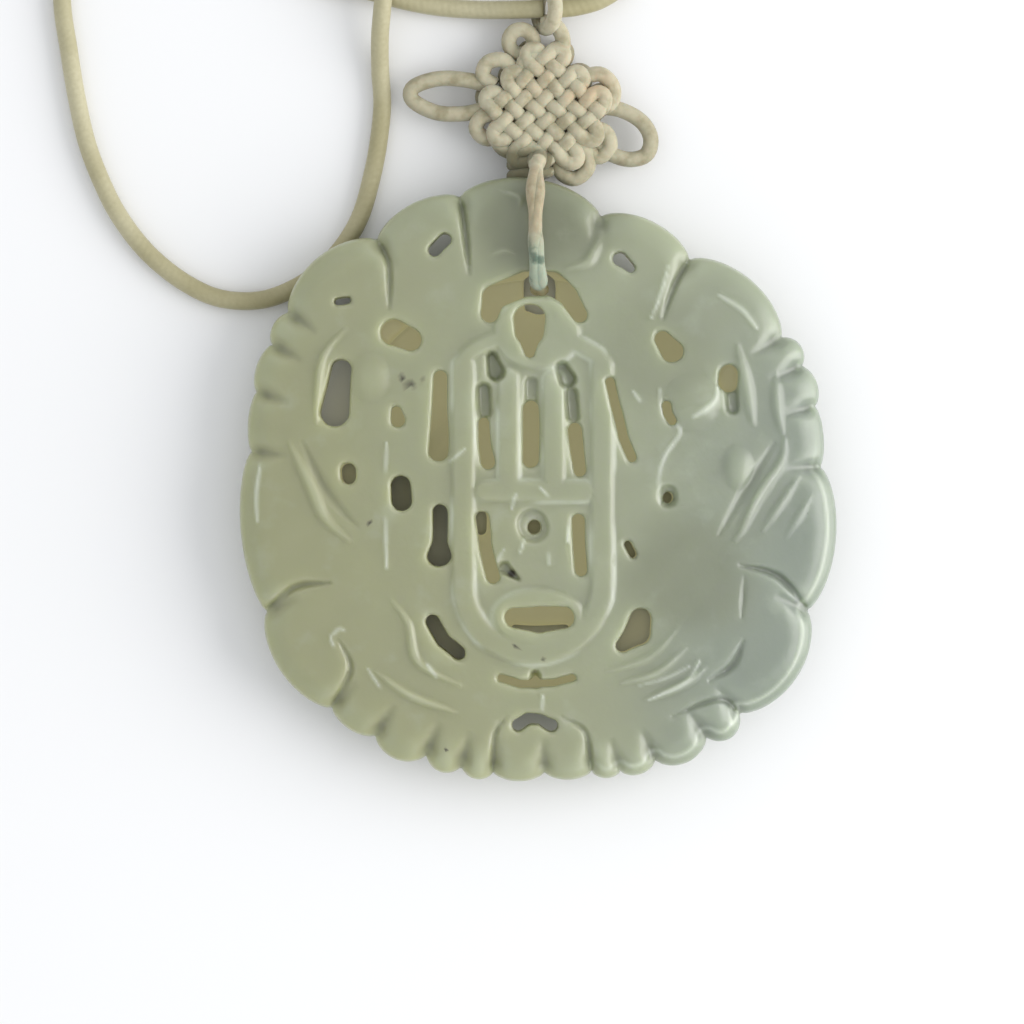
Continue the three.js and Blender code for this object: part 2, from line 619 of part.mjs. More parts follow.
// From the coil back to the hanger.
const RETURN = [
  [8.9, 61.0, FLOOR], [9.6, 57.0, FLOOR], [9.9, 53.2, FLOOR], [9.0, 49.8, 1.2], [6.4, 47.6, 1.9],
  [3.6, 46.7, 2.4], [1.05, 46.5, HANGER.z],
];

function cordTube(route) {
  const length = new THREE.CatmullRomCurve3(route.map((p) => new THREE.Vector3(...p))).getLength();
  return tube(route, CORD_D, CORD_SIDES, Math.round(length / CORD_STEP));
}

function coilRing() {
  const { x, y, inner, outer, high } = COIL;
  const profile = [
    [inner + 0.7, 0], [outer - 0.7, 0], [outer, 0.9], [outer, high - 0.9], [outer - 0.7, high],
    [inner + 0.7, high], [inner, high - 0.9], [inner, 0.9], [inner + 0.7, 0],
  ].map(([r, z]) => new THREE.Vector2(r, z));
  const coil = new THREE.LatheGeometry(profile, 18);
  coil.rotateX(Math.PI / 2);
  coil.translate(x, y, 0);
  return outward(mergeBare(coil));
}

// ---- group ---------------------------------------------------------------------------

const finish = (color, roughness) => new THREE.MeshStandardMaterial({ color, roughness, metalness: 0 });
const jadeStone = finish(0xaab89a, 0.35);
const knotCord = finish(0xc9c2a8, 0.85);
const satinCord = finish(0xb5ae88, 0.6);

const pendant = new THREE.Group();
pendant.position.set(0, LAYOUT_Y, 0);

function addPart(name, solid, material) {
  const mesh = new THREE.Mesh(toGeometry(solid), material);
  mesh.name = name;
  pendant.add(mesh);
}

addPart('jade_pendant', jadeSolid(), jadeStone);
addPart('knot', knotSolid(), knotCord);
addPart('neck_cord_run', toSolid(cordTube(RUN)), satinCord);
addPart('neck_cord_coil', coilRing(), satinCord);
addPart('neck_cord_return', toSolid(cordTube(RETURN)), satinCord);

export default pendant;
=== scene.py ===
"""Dresses an openwork jade pendant on a knotted cord, lying on a pale surface.

Sizes are in millimetres and in the carving's own layout, +X to its right and +Y towards the knot,
until place() turns them into the frame's metres.
"""

import math

import bpy
import numpy as np
import openvdb
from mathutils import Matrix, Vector


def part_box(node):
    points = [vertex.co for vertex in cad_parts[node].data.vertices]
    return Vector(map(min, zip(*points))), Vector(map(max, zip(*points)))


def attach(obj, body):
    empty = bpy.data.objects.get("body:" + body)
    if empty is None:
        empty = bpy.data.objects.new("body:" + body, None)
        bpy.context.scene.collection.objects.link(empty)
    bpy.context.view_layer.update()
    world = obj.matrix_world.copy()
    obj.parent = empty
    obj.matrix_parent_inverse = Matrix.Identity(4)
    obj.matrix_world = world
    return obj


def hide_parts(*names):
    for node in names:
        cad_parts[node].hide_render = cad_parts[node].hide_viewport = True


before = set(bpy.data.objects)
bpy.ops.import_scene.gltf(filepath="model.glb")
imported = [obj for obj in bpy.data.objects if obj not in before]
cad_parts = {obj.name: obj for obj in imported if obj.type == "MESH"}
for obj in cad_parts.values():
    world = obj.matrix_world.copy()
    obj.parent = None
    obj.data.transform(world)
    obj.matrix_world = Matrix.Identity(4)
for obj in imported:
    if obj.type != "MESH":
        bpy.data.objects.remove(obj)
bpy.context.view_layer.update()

bl_info = {
    "name": "Jade Pendant",
    "version": (1, 0, 0),
    "blender": (4, 5, 0),
    "location": "View3D > Sidebar > Pendant",
    "description": "Carved openwork jade, its tied knot, its neck cord and a studio",
    "category": "Object",
}

MM = 0.001
BODY = "root"

# ---- the carving's outline: lobes between cusps --------------------------------------

# Each lobe ends at the cusp x, y and bulges out from the chord by the third number.
FIRST_CUSP = (6.1, 26.1)
LOBES = [
    (-7.7, 28.0, 2.8),  # top petal
    (-15.7, 23.8, 1.6),  # left brow
    (-24.4, 16.7, 2.4),  # left shoulder
    (-26.0, 13.6, 0.8),  # three wing tips on the left
    (-27.5, 9.0, 0.8),
    (-28.0, 3.2, 0.6),
    (-26.5, -12.4, 1.8),  # left wing
    (-20.1, -21.8, 2.2),  # left leaf
    (-15.9, -24.5, 0.9),  # tail tips along the bottom
    (-10.9, -26.4, 1.5),
    (-7.5, -27.5, 1.2),
    (-4.4, -28.1, 1.0),
    (0.6, -28.1, 0.9),
    (5.2, -28.0, 0.8),
    (8.0, -28.0, 0.7),
    (11.4, -26.9, 0.9),
    (16.4, -24.7, 1.5),
    (19.6, -22.3, 1.5),
    (26.2, -12.3, 2.8),  # right leaf
    (27.5, 1.7, 2.2),  # right wing
    (27.0, 7.6, 0.6),  # three wing tips on the right
    (25.7, 11.5, 0.9),
    (23.7, 14.3, 1.1),
    (14.7, 21.9, 2.4),  # right shoulder
    (6.1, 26.1, 1.8),  # right brow
]
LOBE_POINTS = 22

FRONT_TOP = 9.0
FRONT_FALL = 2.2
RIM_MIDDLE = 5.0
RIM_BAND = 0.45
FRONT_ROUND = 2.6
BACK_ROUND = 1.5
BACK_RISE = 3.2
LAND = 0.55
VALLEY_DEPTH = 0.9
VALLEY_LENGTH = 3.6
VALLEY_WIDTH = 0.55

CAVITY_RADIUS = 20
CAVITY_FLOOR = 2.3
CAVITY_ROOF = 6.2
MIDDLE_Z = 4.4

# Each hole is a pen stroke: its path and its width along that path.
THROUGH = [
    ([(-10.1, 22.8), (-9.1, 23.8)], 1.3),  # left brow
    ([(7.9, 22.0), (8.9, 21.1)], (1.4, 0.9)),  # right brow
    ([(-19.6, 17.8), (-18.6, 17.85)], 0.7),  # left shoulder
    ([(-19.25, 11.2), (-19.85, 7.0)], (2.0, 2.8)),  # left window
    ([(-18.5, 1.3), (-18.5, 0.7)], 1.4),
    ([(-13.4, -0.2), (-13.3, -1.6)], (1.9, 2.0)),
    ([(-9.6, -2.7), (-9.6, -5.6), (-9.6, -6.9)], (1.4, 1.5, 2.4)),  # keyhole
    ([(-10.3, -13.3), (-9.4, -15.2), (-7.8, -16.4)], 1.4),  # left crescent
    ([(9.9, -13.2), (9.6, -14.4), (8.2, -15.7)], (2.2, 2.6, 1.4)),  # right crescent
    ([(-2.0, -23.5), (-1.0, -22.8), (0.2, -22.8), (1.2, -23.4)], (1.2, 1.1, 1.0, 1.3)),
    ([(-0.5, -4.2), (-0.5, -4.1)], 1.3),
    ([(12.6, -1.3), (12.6, -1.2)], 1.0),
    ([(8.7, -5.9), (9.2, -6.9)], 0.7),
]
# The walls of these holes get neither the brown nor the painted glow of the other inner walls.
DARK_HOLES = THROUGH[5:8]  # those that look down on the shaded surface
FRONT_ONLY = [
    ([(-14.0, 14.7), (-12.5, 14.0)], (2.6, 2.2)),
    ([(-13.9, 7.2), (-13.7, 6.2)], (0.9, 1.4)),
    ([(-9.5, 10.3), (-9.6, 6.0), (-9.8, 3.2)], (1.3, 1.6, 1.9)),  # outer left slot
    ([(-5.3, 5.9), (-5.1, 3.4), (-4.9, 2.1)], (1.1, 1.2, 1.4)),  # three middle slots
    ([(-0.75, 7.4), (-0.7, 2.3)], 1.5),
    ([(3.5, 5.3), (3.7, 3.0), (4.0, 1.3)], (1.4, 1.3, 1.2)),
    ([(6.9, 9.9), (7.7, 7.0), (8.3, 4.5), (9.1, 2.6)], 0.9),  # outer right slot
    ([(3.9, -3.6), (4.1, -8.4)], 1.2),  # two lower slots
    ([(-5.5, -3.2), (-5.2, -6.0), (-4.4, -9.0)], (1.2, 1.2, 1.3)),
    ([(-0.85, 16.0), (-0.85, 14.8), (-0.85, 12.8)], (3.0, 2.8, 1.0)),  # ring
    ([(-4.7, 16.6), (-4.3, 18.2), (-1.3, 19.5), (1.3, 19.5), (2.8, 18.3), (4.0, 16.5)],
     (1.8, 2.4, 2.4, 2.4, 1.9, 1.5)),  # under the petal
    ([(12.0, 14.1), (13.0, 13.0)], (1.6, 2.2)),
    ([(12.5, 7.6), (12.6, 6.9), (13.0, 6.2)], 0.9),
    ([(-2.3, -13.0), (0.1, -13.2), (2.5, -13.0)], (2.0, 2.7, 2.0)),  # oval
    ([(18.5, 10.7), (18.4, 9.9)], 1.9),
    ([(-3.6, -18.9), (-1.8, -19.4), (1.5, -19.4), (3.3, -18.9)], 0.7),
]
BACK_ONLY = [
    ([(-5.65, -3.2), (-5.6, -4.4)], 1.1),
    ([(-2.2, -14.2), (2.5, -14.2)], 0.9),
    ([(0.1, 19.2), (0.1, 18.2)], 3.0),  # for the cord
]
CHANNEL = (-1.3, 1.5, 17.0, 2.1)  # left, right, lower end and depth of the cord's channel in the back

# ---- relief on the front -------------------------------------------------------------

# Ridges: path, width, height.
RIDGES = [
    ([(24.0, 4.4), (23.7, 2.2), (21.6, -0.9), (19.8, -4.5), (19.1, -5.6)], 1.5, 0.42),  # wing edges
    ([(-24.2, 4.0), (-22.2, -0.1), (-20.8, -3.2), (-18.4, -5.5)], 1.8, 0.4),
    ([(25.4, 0.8), (23.6, -2.0), (21.8, -4.6)], 1.1, 0.3),
    ([(26.6, -1.0), (25.4, -3.2), (24.1, -5.2)], 1.0, 0.22),
    ([(19.4, 13.6), (20.3, 9.6), (20.9, 5.8)], 1.8, 0.35),  # feathers
    ([(23.2, 10.8), (23.3, 7.6), (23.8, 4.9)], 1.6, 0.3),
    ([(-18.7, 15.2), (-20.9, 12.4), (-21.5, 8.9), (-21.6, 5.8)], 1.1, 0.35),
    ([(16.3, -17.8), (14.4, -19.4), (10.4, -21.1)], 1.3, 0.4),  # tails
    ([(14.3, -16.0), (11.6, -18.4), (8.0, -19.4)], 1.2, 0.35),
    ([(13.6, -13.9), (10.8, -16.9), (6.6, -18.3)], 1.0, 0.25),
    ([(-15.9, -18.2), (-12.4, -20.6), (-8.0, -22.2)], 1.3, 0.4),
    ([(-14.2, -11.3), (-12.6, -13.7), (-11.7, -17.3), (-7.6, -19.6)], 1.2, 0.35),
    ([(5.9, 26.0), (5.8, 23.9), (4.8, 21.6), (2.6, 20.9)], 1.6, 0.35),  # petal
    ([(-3.8, 28.6), (-1.9, 27.9), (-2.2, 26.4)], 0.8, 0.2),
    ([(-4.8, 22.2), (-3.4, 22.7), (-2.2, 22.3)], 0.8, 0.2),
]
# Grooves: path, width, depth.
GROOVES = [
    ([(26.4, -12.4), (24.0, -9.5), (22.3, -8.5), (19.6, -7.9)], 1.3, 0.6),
    ([(-26.8, -12.5), (-25.2, -11.1), (-23.3, -9.9), (-20.2, -9.6)], 1.3, 0.55),
    ([(20.0, -15.2), (18.9, -17.6), (16.6, -19.2)], 1.4, 0.5),
    ([(19.9, -22.6), (17.6, -21.0), (13.0, -22.6)], 1.0, 0.45),
    ([(-19.4, -15.2), (-18.3, -18.1), (-20.3, -22.0)], 1.2, 0.45),
    ([(14.8, 22.1), (13.2, 19.2), (12.1, 16.0)], 1.2, 0.5),
    ([(-15.8, 24.0), (-14.6, 21.3), (-14.5, 17.0)], 1.2, 0.5),
    ([(-7.7, 28.2), (-7.1, 24.2), (-6.7, 20.4)], 1.3, 0.6),
    ([(-3.0, -22.6), (-4.2, -24.4), (-4.5, -28.4)], 1.0, 0.4),
    ([(2.2, -22.6), (4.6, -24.2), (5.2, -28.3)], 1.0, 0.4),
    ([(20.1, -8.8), (19.8, -13.2)], 0.9, 0.2),
    ([(23.0, 4.0), (20.4, -0.2), (17.6, -5.0)], 1.6, 0.3),
    ([(-23.0, 4.2), (-20.6, -0.6), (-17.6, -4.2)], 1.6, 0.3),
]
# Fine raised lines along edges, painted with a highlight: path, width.
LINES = [
    ([(11.8, 9.2), (12.1, 6.7), (13.8, 5.2), (12.3, 2.8), (11.7, 0.7), (11.8, -1.8)], 0.34),
    ([(17.4, 9.4), (17.2, 8.2), (16.2, 7.2), (15.0, 6.5)], 0.6),
    ([(-27.1, 2.0), (-27.5, -1.0), (-27.4, -3.7)], 0.45),
    ([(-14.8, 4.0), (-14.9, 1.0)], 0.35),
    ([(-14.9, -3.0), (-14.8, -8.2)], 0.35),
    ([(-20.3, -14.9), (-19.4, -14.1), (-18.8, -14.3)], 0.35),
    ([(-20.3, -14.9), (-19.9, -15.9)], 0.3),
    ([(-10.9, -17.4), (-9.9, -18.9)], 0.35),
    ([(-16.6, -18.0), (-15.4, -19.9)], 0.3),
    ([(15.7, -17.1), (14.4, -19.2), (10.8, -21.0)], 0.4),
    ([(14.6, -17.8), (12.4, -18.9), (9.8, -19.6)], 0.3),
    ([(12.6, 21.2), (11.9, 18.6), (11.0, 16.2)], 0.3),
    ([(19.4, -21.3), (19.3, -22.8), (18.2, -24.0)], 0.4),
    ([(-2.2, -0.9), (-2.6, -2.4)], 0.3),
    ([(-3.4, -6.4), (-4.2, -7.8)], 0.3),
    ([(0.9, -6.6), (1.0, -7.8)], 0.3),
    ([(2.9, -3.9), (2.8, -5.6)], 0.35),
    ([(-1.4, -5.4), (-1.8, -6.6)], 0.3),
    ([(0.2, -0.4), (1.0, -1.3)], 0.3),
    ([(0.4, -20.6), (0.3, -22.2)], 0.35),
    ([(-8.6, 2.2), (-7.2, 3.4)], 0.3),
    ([(9.2, 9.0), (9.9, 8.0)], 0.3),
    ([(17.6, 18.4), (19.8, 17.0), (21.2, 15.2)], 0.5),
]
LINE_HEIGHT = 0.13
# Shallow hollows with flat floors: path, width, depth.
HOLLOWS = [
    ([(-4.5, 12.3), (-4.1, 10.9)], (1.3, 2.0), 1.1),
    ([(2.3, 11.3), (2.8, 10.2)], (1.5, 2.0), 1.1),
    ([(18.8, 8.9), (18.9, 7.4)], 1.5, 0.7),
    ([(-5.3, 9.2), (-5.2, 7.0)], 1.6, 0.8),
    ([(3.2, 8.8), (3.4, 6.6)], 1.5, 0.8),
    ([(-0.7, 9.8), (-0.7, 8.2)], 1.5, 0.5),
    ([(-0.5, -4.2), (-0.6, -3.9)], 3.2, 0.5),
    ([(-3.3, -8.2), (-2.0, -9.2)], (1.5, 0.6), 0.8),
    ([(-0.3, -18.6), (-0.3, -19.4)], 1.1, 1.6),
    ([(12.6, -1.0), (12.6, -1.4)], 2.1, 0.5),
]

# Bosses: centre and half widths.
BOSSES = [(15.0, 8.0, 3.0, 3.0), (19.4, 1.6, 1.7, 2.4), (-16.4, 10.4, 2.2, 2.6)]
BOSS_HEIGHT = 0.95
BOSS_SINK = 0.5

# The lattice in the middle: one broad band bent into a U, a ring over it and bars across.
BAND = {"left": -7.3, "right": 6.2, "top": 11.5, "turn": -9.8, "width": 2.3}
LATTICE_RISE = 0.3
SHOULDERS = [
    [(-7.3, 10.8), (-7.0, 12.4), (-5.2, 13.6), (-3.4, 14.2)],
    [(6.2, 10.8), (5.9, 12.3), (4.4, 13.3), (2.8, 14.2)],
]
RING = (-0.15, 14.7, 4.3, 3.6)
OVAL_RIM = (0.0, -13.0, 4.6, 2.9)
BARS = [
    ([(-2.9, 10.3), (-2.9, 0.6)], 2.2),
    ([(1.5, 10.0), (1.5, 0.6)], 2.3),
    ([(-5.2, -0.7), (4.4, -0.7)], 2.2),
]


# ---- fields on the plan of the carving -----------------------------------------------


def smooth_step(value, low, high):
    """Goes from 0 at low to 1 at high without a corner."""
    t = np.clip((value - low) / (high - low), 0, 1)
    return t * t * (3 - 2 * t)


def smooth_max(a, b, radius):
    """The larger of two fields, with the corner between them rounded."""
    blend = np.clip(radius - np.abs(a - b), 0, None) / radius
    return np.maximum(a, b) + blend * blend * radius / 4


def outline():
    """The carving's edge as points, and for each lobe the cusp where it starts."""
    points, cusps = [], []
    ax, ay = FIRST_CUSP
    for bx, by, bulge in LOBES:
        chord = math.hypot(bx - ax, by - ay)
        nx, ny = (by - ay) / chord, -(bx - ax) / chord
        cusps.append((ax, ay))
        for i in range(LOBE_POINTS):
            t = i / LOBE_POINTS
            t = (1 - math.cos(math.pi * t)) / 4 + t / 2
            out = bulge * (4 * t * (1 - t)) ** 0.7
            points.append((ax + (bx - ax) * t + nx * out, ay + (by - ay) * t + ny * out))
        ax, ay = bx, by
    return np.array(points), cusps


def stroke_distance(x, y, path, widths):
    """Distance to the edge of a pen stroke, negative inside it, and how far along it each place is."""
    path = np.array(path, float)
    half = np.broadcast_to(np.array(widths, float) / 2, (len(path),))
    lengths = np.hypot(*(path[1:] - path[:-1]).T)
    starts = np.concatenate(([0], np.cumsum(lengths)))
    nearest = np.full(x.shape, 1e6)
    along = np.zeros(x.shape)
    for i, length in enumerate(lengths):
        dx, dy = (path[i + 1] - path[i]) / length
        t = np.clip(((x - path[i, 0]) * dx + (y - path[i, 1]) * dy) / length, 0, 1)
        gap = np.hypot(x - path[i, 0] - t * length * dx, y - path[i, 1] - t * length * dy)
        gap = gap - half[i] - t * (half[i + 1] - half[i])
        closer = gap < nearest
        nearest = np.where(closer, gap, nearest)
        along = np.where(closer, (starts[i] + t * length) / starts[-1], along)
    return nearest, along


def curve_points(path, count=24):
    """A smooth curve through the points of a path."""
    path = np.array(path, float)
    ends = np.vstack((2 * path[0] - path[1], path, 2 * path[-1] - path[-2]))
    out = []
    spans = len(path) - 1
    for k in range(count + 1):
        s = min(k / count * spans, spans - 1e-9)
        i, t = int(s), s - int(s)
        a, b, c, d = ends[i:i + 4]
        out.append(0.5 * (2 * b + (c - a) * t + (2 * a - 5 * b + 4 * c - d) * t ** 2
                          + (3 * b - a - 3 * c + d) * t ** 3))
    return np.array(out)


def hand_shift(x, y, size, seed):
    """A slow wander of a hand-held tool over the plan."""
    a = np.sin(x * 0.61 + 1.7 * seed) * np.cos(y * 0.53 - seed)
    b = np.sin((x + y) * 0.37 + 0.9 * seed) + np.sin((x - 1.3 * y) * 0.83 + 2.1 * seed)
    return size * (a + 0.5 * b)


class Plan:
    """Heights and distances of the carving over a regular grid of places."""

    def __init__(self, step):
        self.step = step
        self.x_line = np.arange(-30.4, 30.4 + step, step)
        self.y_line = np.arange(-30.4, 31.4 + step, step)
        self.x, self.y = np.meshgrid(self.x_line, self.y_line, indexing="ij")
        self.edge, self.cusps = outline()
        self.inward = self.distance_inside()
        self.share = np.clip(np.hypot(self.x, self.y) / self.smooth_radius(), 0, 1)
        self.front = self.front_height()
        self.back = self.back_height()

    def distance_inside(self):
        """Distance to the outline, positive inside."""
        start = self.edge
        step = np.roll(start, -1, axis=0) - start
        length2 = (step ** 2).sum(1)
        x, y = self.x.ravel(), self.y.ravel()
        best = np.full(x.shape, 1e9)
        for (px, py), (dx, dy), l2 in zip(start, step, length2):
            t = np.clip(((x - px) * dx + (y - py) * dy) / l2, 0, 1)
            gap = (x - px - t * dx) ** 2 + (y - py - t * dy) ** 2
            np.minimum(best, gap, out=best)
        distance = np.sqrt(best).reshape(self.x.shape)
        angle = np.arctan2(self.edge[:, 1], self.edge[:, 0])
        order = np.argsort(angle)
        radius = np.interp(np.arctan2(self.y, self.x), angle[order],
                           np.hypot(*self.edge.T)[order], period=2 * math.pi)
        return np.where(np.hypot(self.x, self.y) < radius, distance, -distance)

    def smooth_radius(self):
        """The outline's radius with its lobes averaged out."""
        angle = np.arctan2(self.edge[:, 1], self.edge[:, 0])
        order = np.argsort(angle)
        even = np.linspace(-math.pi, math.pi, 360, endpoint=False)
        radius = np.interp(even, angle[order], np.hypot(*self.edge.T)[order], period=2 * math.pi)
        window = np.hanning(33)
        wrapped = np.concatenate((radius[-16:], radius, radius[:16]))
        soft = np.convolve(wrapped, window / window.sum(), mode="valid")
        return np.interp(np.arctan2(self.y, self.x), even, soft, period=2 * math.pi)

    def round_off(self, width):
        t = np.clip(self.inward / width, 0, 1)
        return np.sqrt(1 - (1 - t) ** 2)

    def valleys(self):
        """Depth of the grooves that part the lobes."""
        depth = np.zeros(self.x.shape)
        for cx, cy in self.cusps:
            r = math.hypot(cx, cy)
            ux, uy = -cx / r, -cy / r
            along = (self.x - cx) * ux + (self.y - cy) * uy
            across = (self.x - cx) * uy - (self.y - cy) * ux
            fade = np.clip(1 - np.clip(along, 0, None) / VALLEY_LENGTH, 0, 1)
            width = VALLEY_WIDTH * (0.7 + 0.6 * fade)
            depth = np.maximum(depth, VALLEY_DEPTH * fade * np.exp(-(across / width) ** 2) * (along > -1))
        return depth * smooth_step(self.inward, -0.2, 1.2)

    def front_height(self):
        edge = RIM_MIDDLE + RIM_BAND
        dome = FRONT_TOP - FRONT_FALL * self.share ** 2
        front = edge + (dome - edge) * self.round_off(FRONT_ROUND)
        front = front - self.valleys()
        front = self.add_bosses(front)
        front = self.add_lattice(front)
        for path, width, depth in HOLLOWS:
            gap = stroke_distance(self.x, self.y, path, width)[0]
            front = front - depth * (1 - smooth_step(gap, -0.45, 0.12))
        for path, width, height in RIDGES:
            front = front + self.strip(path, width) * height
        for path, width, depth in GROOVES:
            front = front - self.strip(path, width) * depth
        self.lines = self.highlight_lines()
        front = front + LINE_HEIGHT * self.lines
        front = front + hand_shift(self.x * 1.3, self.y * 1.3, 0.03, 4.0)
        return front

    def highlight_lines(self):
        """1 on the fine lines that carry a painted highlight: those of the lattice, of the broad lobes
        along the rim on the right, the side facing the light, and the single ones.
        """
        lines = np.exp(-(self.lattice_gap / 0.16) ** 2) * 0.8
        broken = hand_shift(self.x * 0.9, self.y * 0.9, 1.0, 2.0)
        lines = lines * smooth_step(broken, -0.5, 0.9)
        # A painted highlight along the rim on the right, the side facing the light.
        rim = np.exp(-((self.inward - 0.95) / 0.17) ** 2)
        rim = rim * smooth_step(self.x - 0.4 * self.y, 12, 22) * smooth_step(-self.y, -6, 2)
        lines = np.maximum(lines, rim * 0.7)
        for path, width in LINES:
            gap, along = stroke_distance(self.x, self.y, curve_points(path), 0.0)
            slim = 0.4 + 0.6 * np.sin(math.pi * along)
            lines = np.maximum(lines, np.exp(-(gap / (width * 0.45 * slim)) ** 2))
        return lines

    def strip(self, path, width):
        """A strip along a path, 1 along its middle, slim at both ends."""
        gap, along = stroke_distance(self.x, self.y, curve_points(path), 0.0)
        slim = 0.35 + 0.65 * np.sin(math.pi * along)
        t = np.clip(1 - gap / (width / 2 * slim), 0, 1)
        return slim * t * t * (3 - 2 * t)

    def add_bosses(self, front):
        for x, y, rx, ry in BOSSES:
            inside = 1 - ((self.x - x) / rx) ** 2 - ((self.y - y) / ry) ** 2
            cap = front - BOSS_SINK + BOSS_HEIGHT * np.sqrt(np.clip(inside, 0, 1))
            front = np.where(inside > 0, smooth_max(front, cap, 0.25), front)
        return front

    def add_lattice(self, front):
        middle = (BAND["left"] + BAND["right"]) / 2
        reach = (BAND["right"] - BAND["left"]) / 2
        bend = [(middle + reach * math.cos(a), BAND["turn"] + reach * math.sin(a))
                for a in np.linspace(math.pi, 2 * math.pi, 17)]
        path = [(BAND["left"], BAND["top"])] + bend + [(BAND["right"], BAND["top"])]
        parts = [stroke_distance(self.x, self.y, path, BAND["width"])[0]]
        parts += [stroke_distance(self.x, self.y, bar, width)[0] for bar, width in BARS]
        parts += [stroke_distance(self.x, self.y, curve_points(path), 1.7)[0] for path in SHOULDERS]
        for x, y, rx, ry in (RING, OVAL_RIM):
            scaled = np.hypot((self.x - x) / rx, (self.y - y) / ry)
            parts.append((scaled - 1) * min(rx, ry))
        self.lattice_gap = np.minimum.reduce(parts)
        return front + LATTICE_RISE * (1 - smooth_step(self.lattice_gap, -0.4, 0.12))

    def back_height(self):
        edge = RIM_MIDDLE - RIM_BAND
        lift = np.clip((self.share - LAND) / (1 - LAND), 0, 1)
        dome = BACK_RISE * lift ** 2
        return edge + (dome - edge) * self.round_off(BACK_ROUND)

    def holes(self, strokes, seed):
        """Distance to the nearest of several holes, negative inside one."""
        x = self.x + hand_shift(self.x, self.y, 0.07, seed)
        y = self.y + hand_shift(self.y, self.x, 0.07, seed + 3)
        return np.minimum.reduce([stroke_distance(x, y, path, widths)[0] for path, widths in strokes])

    def at(self, field, x, y):
        """A field's value at any places, between the grid's own."""
        i = np.clip((x - self.x_line[0]) / self.step, 0, len(self.x_line) - 1.001)
        j = np.clip((y - self.y_line[0]) / self.step, 0, len(self.y_line) - 1.001)
        i0, j0 = i.astype(int), j.astype(int)
        s, t = i - i0, j - j0
        return (field[i0, j0] * (1 - s) * (1 - t) + field[i0 + 1, j0] * s * (1 - t)
                + field[i0, j0 + 1] * (1 - s) * t + field[i0 + 1, j0 + 1] * s * t)


def blurred(field, radius):
    """A field smoothed over a square window, three times over."""
    count = 2 * radius + 1
    for _ in range(3):
        for axis in (0, 1):
            padded = np.concatenate((np.repeat(np.take(field, [0], axis), radius + 1, axis), field,
                                     np.repeat(np.take(field, [-1], axis), radius, axis)), axis)
            total = np.cumsum(padded, axis)
            upper = np.take(total, range(count, total.shape[axis]), axis)
            lower = np.take(total, range(0, total.shape[axis] - count), axis)
            field = (upper - lower) / count
    return field

# ---- meshes --------------------------------------------------------------------------


def layout_offset():
    """Where the carving's own centre stands in the frame, in metres."""
    low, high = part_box("jade_pendant")
    edge, _ = outline()
    return Vector(((low.x + high.x) / 2 - (edge[:, 0].min() + edge[:, 0].max()) / 2 * MM,
                   (low.y + high.y) / 2 - (edge[:, 1].min() + edge[:, 1].max()) / 2 * MM, 0))


def place(points):
    """Layout millimetres to metres in the frame."""
    return np.asarray(points, float) * MM + np.array(layout_offset())


def new_piece(name, vertices, faces, material, attributes=None):
    """A smooth mesh object from points in metres, with float attributes on its points."""
    mesh = bpy.data.meshes.new(name)
    vertices = np.asarray(vertices, np.float32)
    sizes = np.array([len(face) for face in faces], np.int32)
    corners = np.concatenate([np.asarray(face, np.int32) for face in faces])
    mesh.vertices.add(len(vertices))
    mesh.vertices.foreach_set("co", vertices.ravel())
    mesh.loops.add(len(corners))
    mesh.loops.foreach_set("vertex_index", corners)
    mesh.polygons.add(len(sizes))
    mesh.polygons.foreach_set("loop_start", np.concatenate(([0], np.cumsum(sizes)[:-1])).astype(np.int32))
    mesh.polygons.foreach_set("loop_total", sizes)
    mesh.polygons.foreach_set("use_smooth", np.ones(len(sizes), bool))
    mesh.update(calc_edges=True)
    mesh.validate()
    for key, values in (attributes or {}).items():
        attribute = mesh.attributes.new(key, "FLOAT", "POINT")
        attribute.data.foreach_set("value", np.asarray(values, np.float32))
    piece = bpy.data.objects.new(name, mesh)
    bpy.context.scene.collection.objects.link(piece)
    mesh.materials.append(material)
    return piece


def apply_modifier(piece, kind, **settings):
    """Adds a modifier and writes its result into the mesh."""
    modifier = piece.modifiers.new(kind.title(), kind)
    for key, value in settings.items():
        setattr(modifier, key, value)
    graph = bpy.context.evaluated_depsgraph_get()
    mesh = bpy.data.meshes.new_from_object(piece.evaluated_get(graph))
    piece.modifiers.clear()
    old = piece.data
    piece.data = mesh
    bpy.data.meshes.remove(old)


def points_of(piece):
    """The piece's points in metres, one row each."""
    co = np.empty(len(piece.data.vertices) * 3, np.float32)
    piece.data.vertices.foreach_get("co", co)
    return co.reshape(-1, 3).astype(float)


def set_attribute(piece, key, values):
    """Writes one number on each point of a piece."""
    attribute = piece.data.attributes.get(key) or piece.data.attributes.new(key, "FLOAT", "POINT")
    attribute.data.foreach_set("value", np.asarray(values, np.float32))


JADE_FACES = 188000
JADE_LOW = -0.6  # the heights between which the carving is worked out
JADE_HIGH = 10.4
RIM_ROUND = 0.3
EDGE_ROUND = 0.4
HOLE_ROUND = 0.45


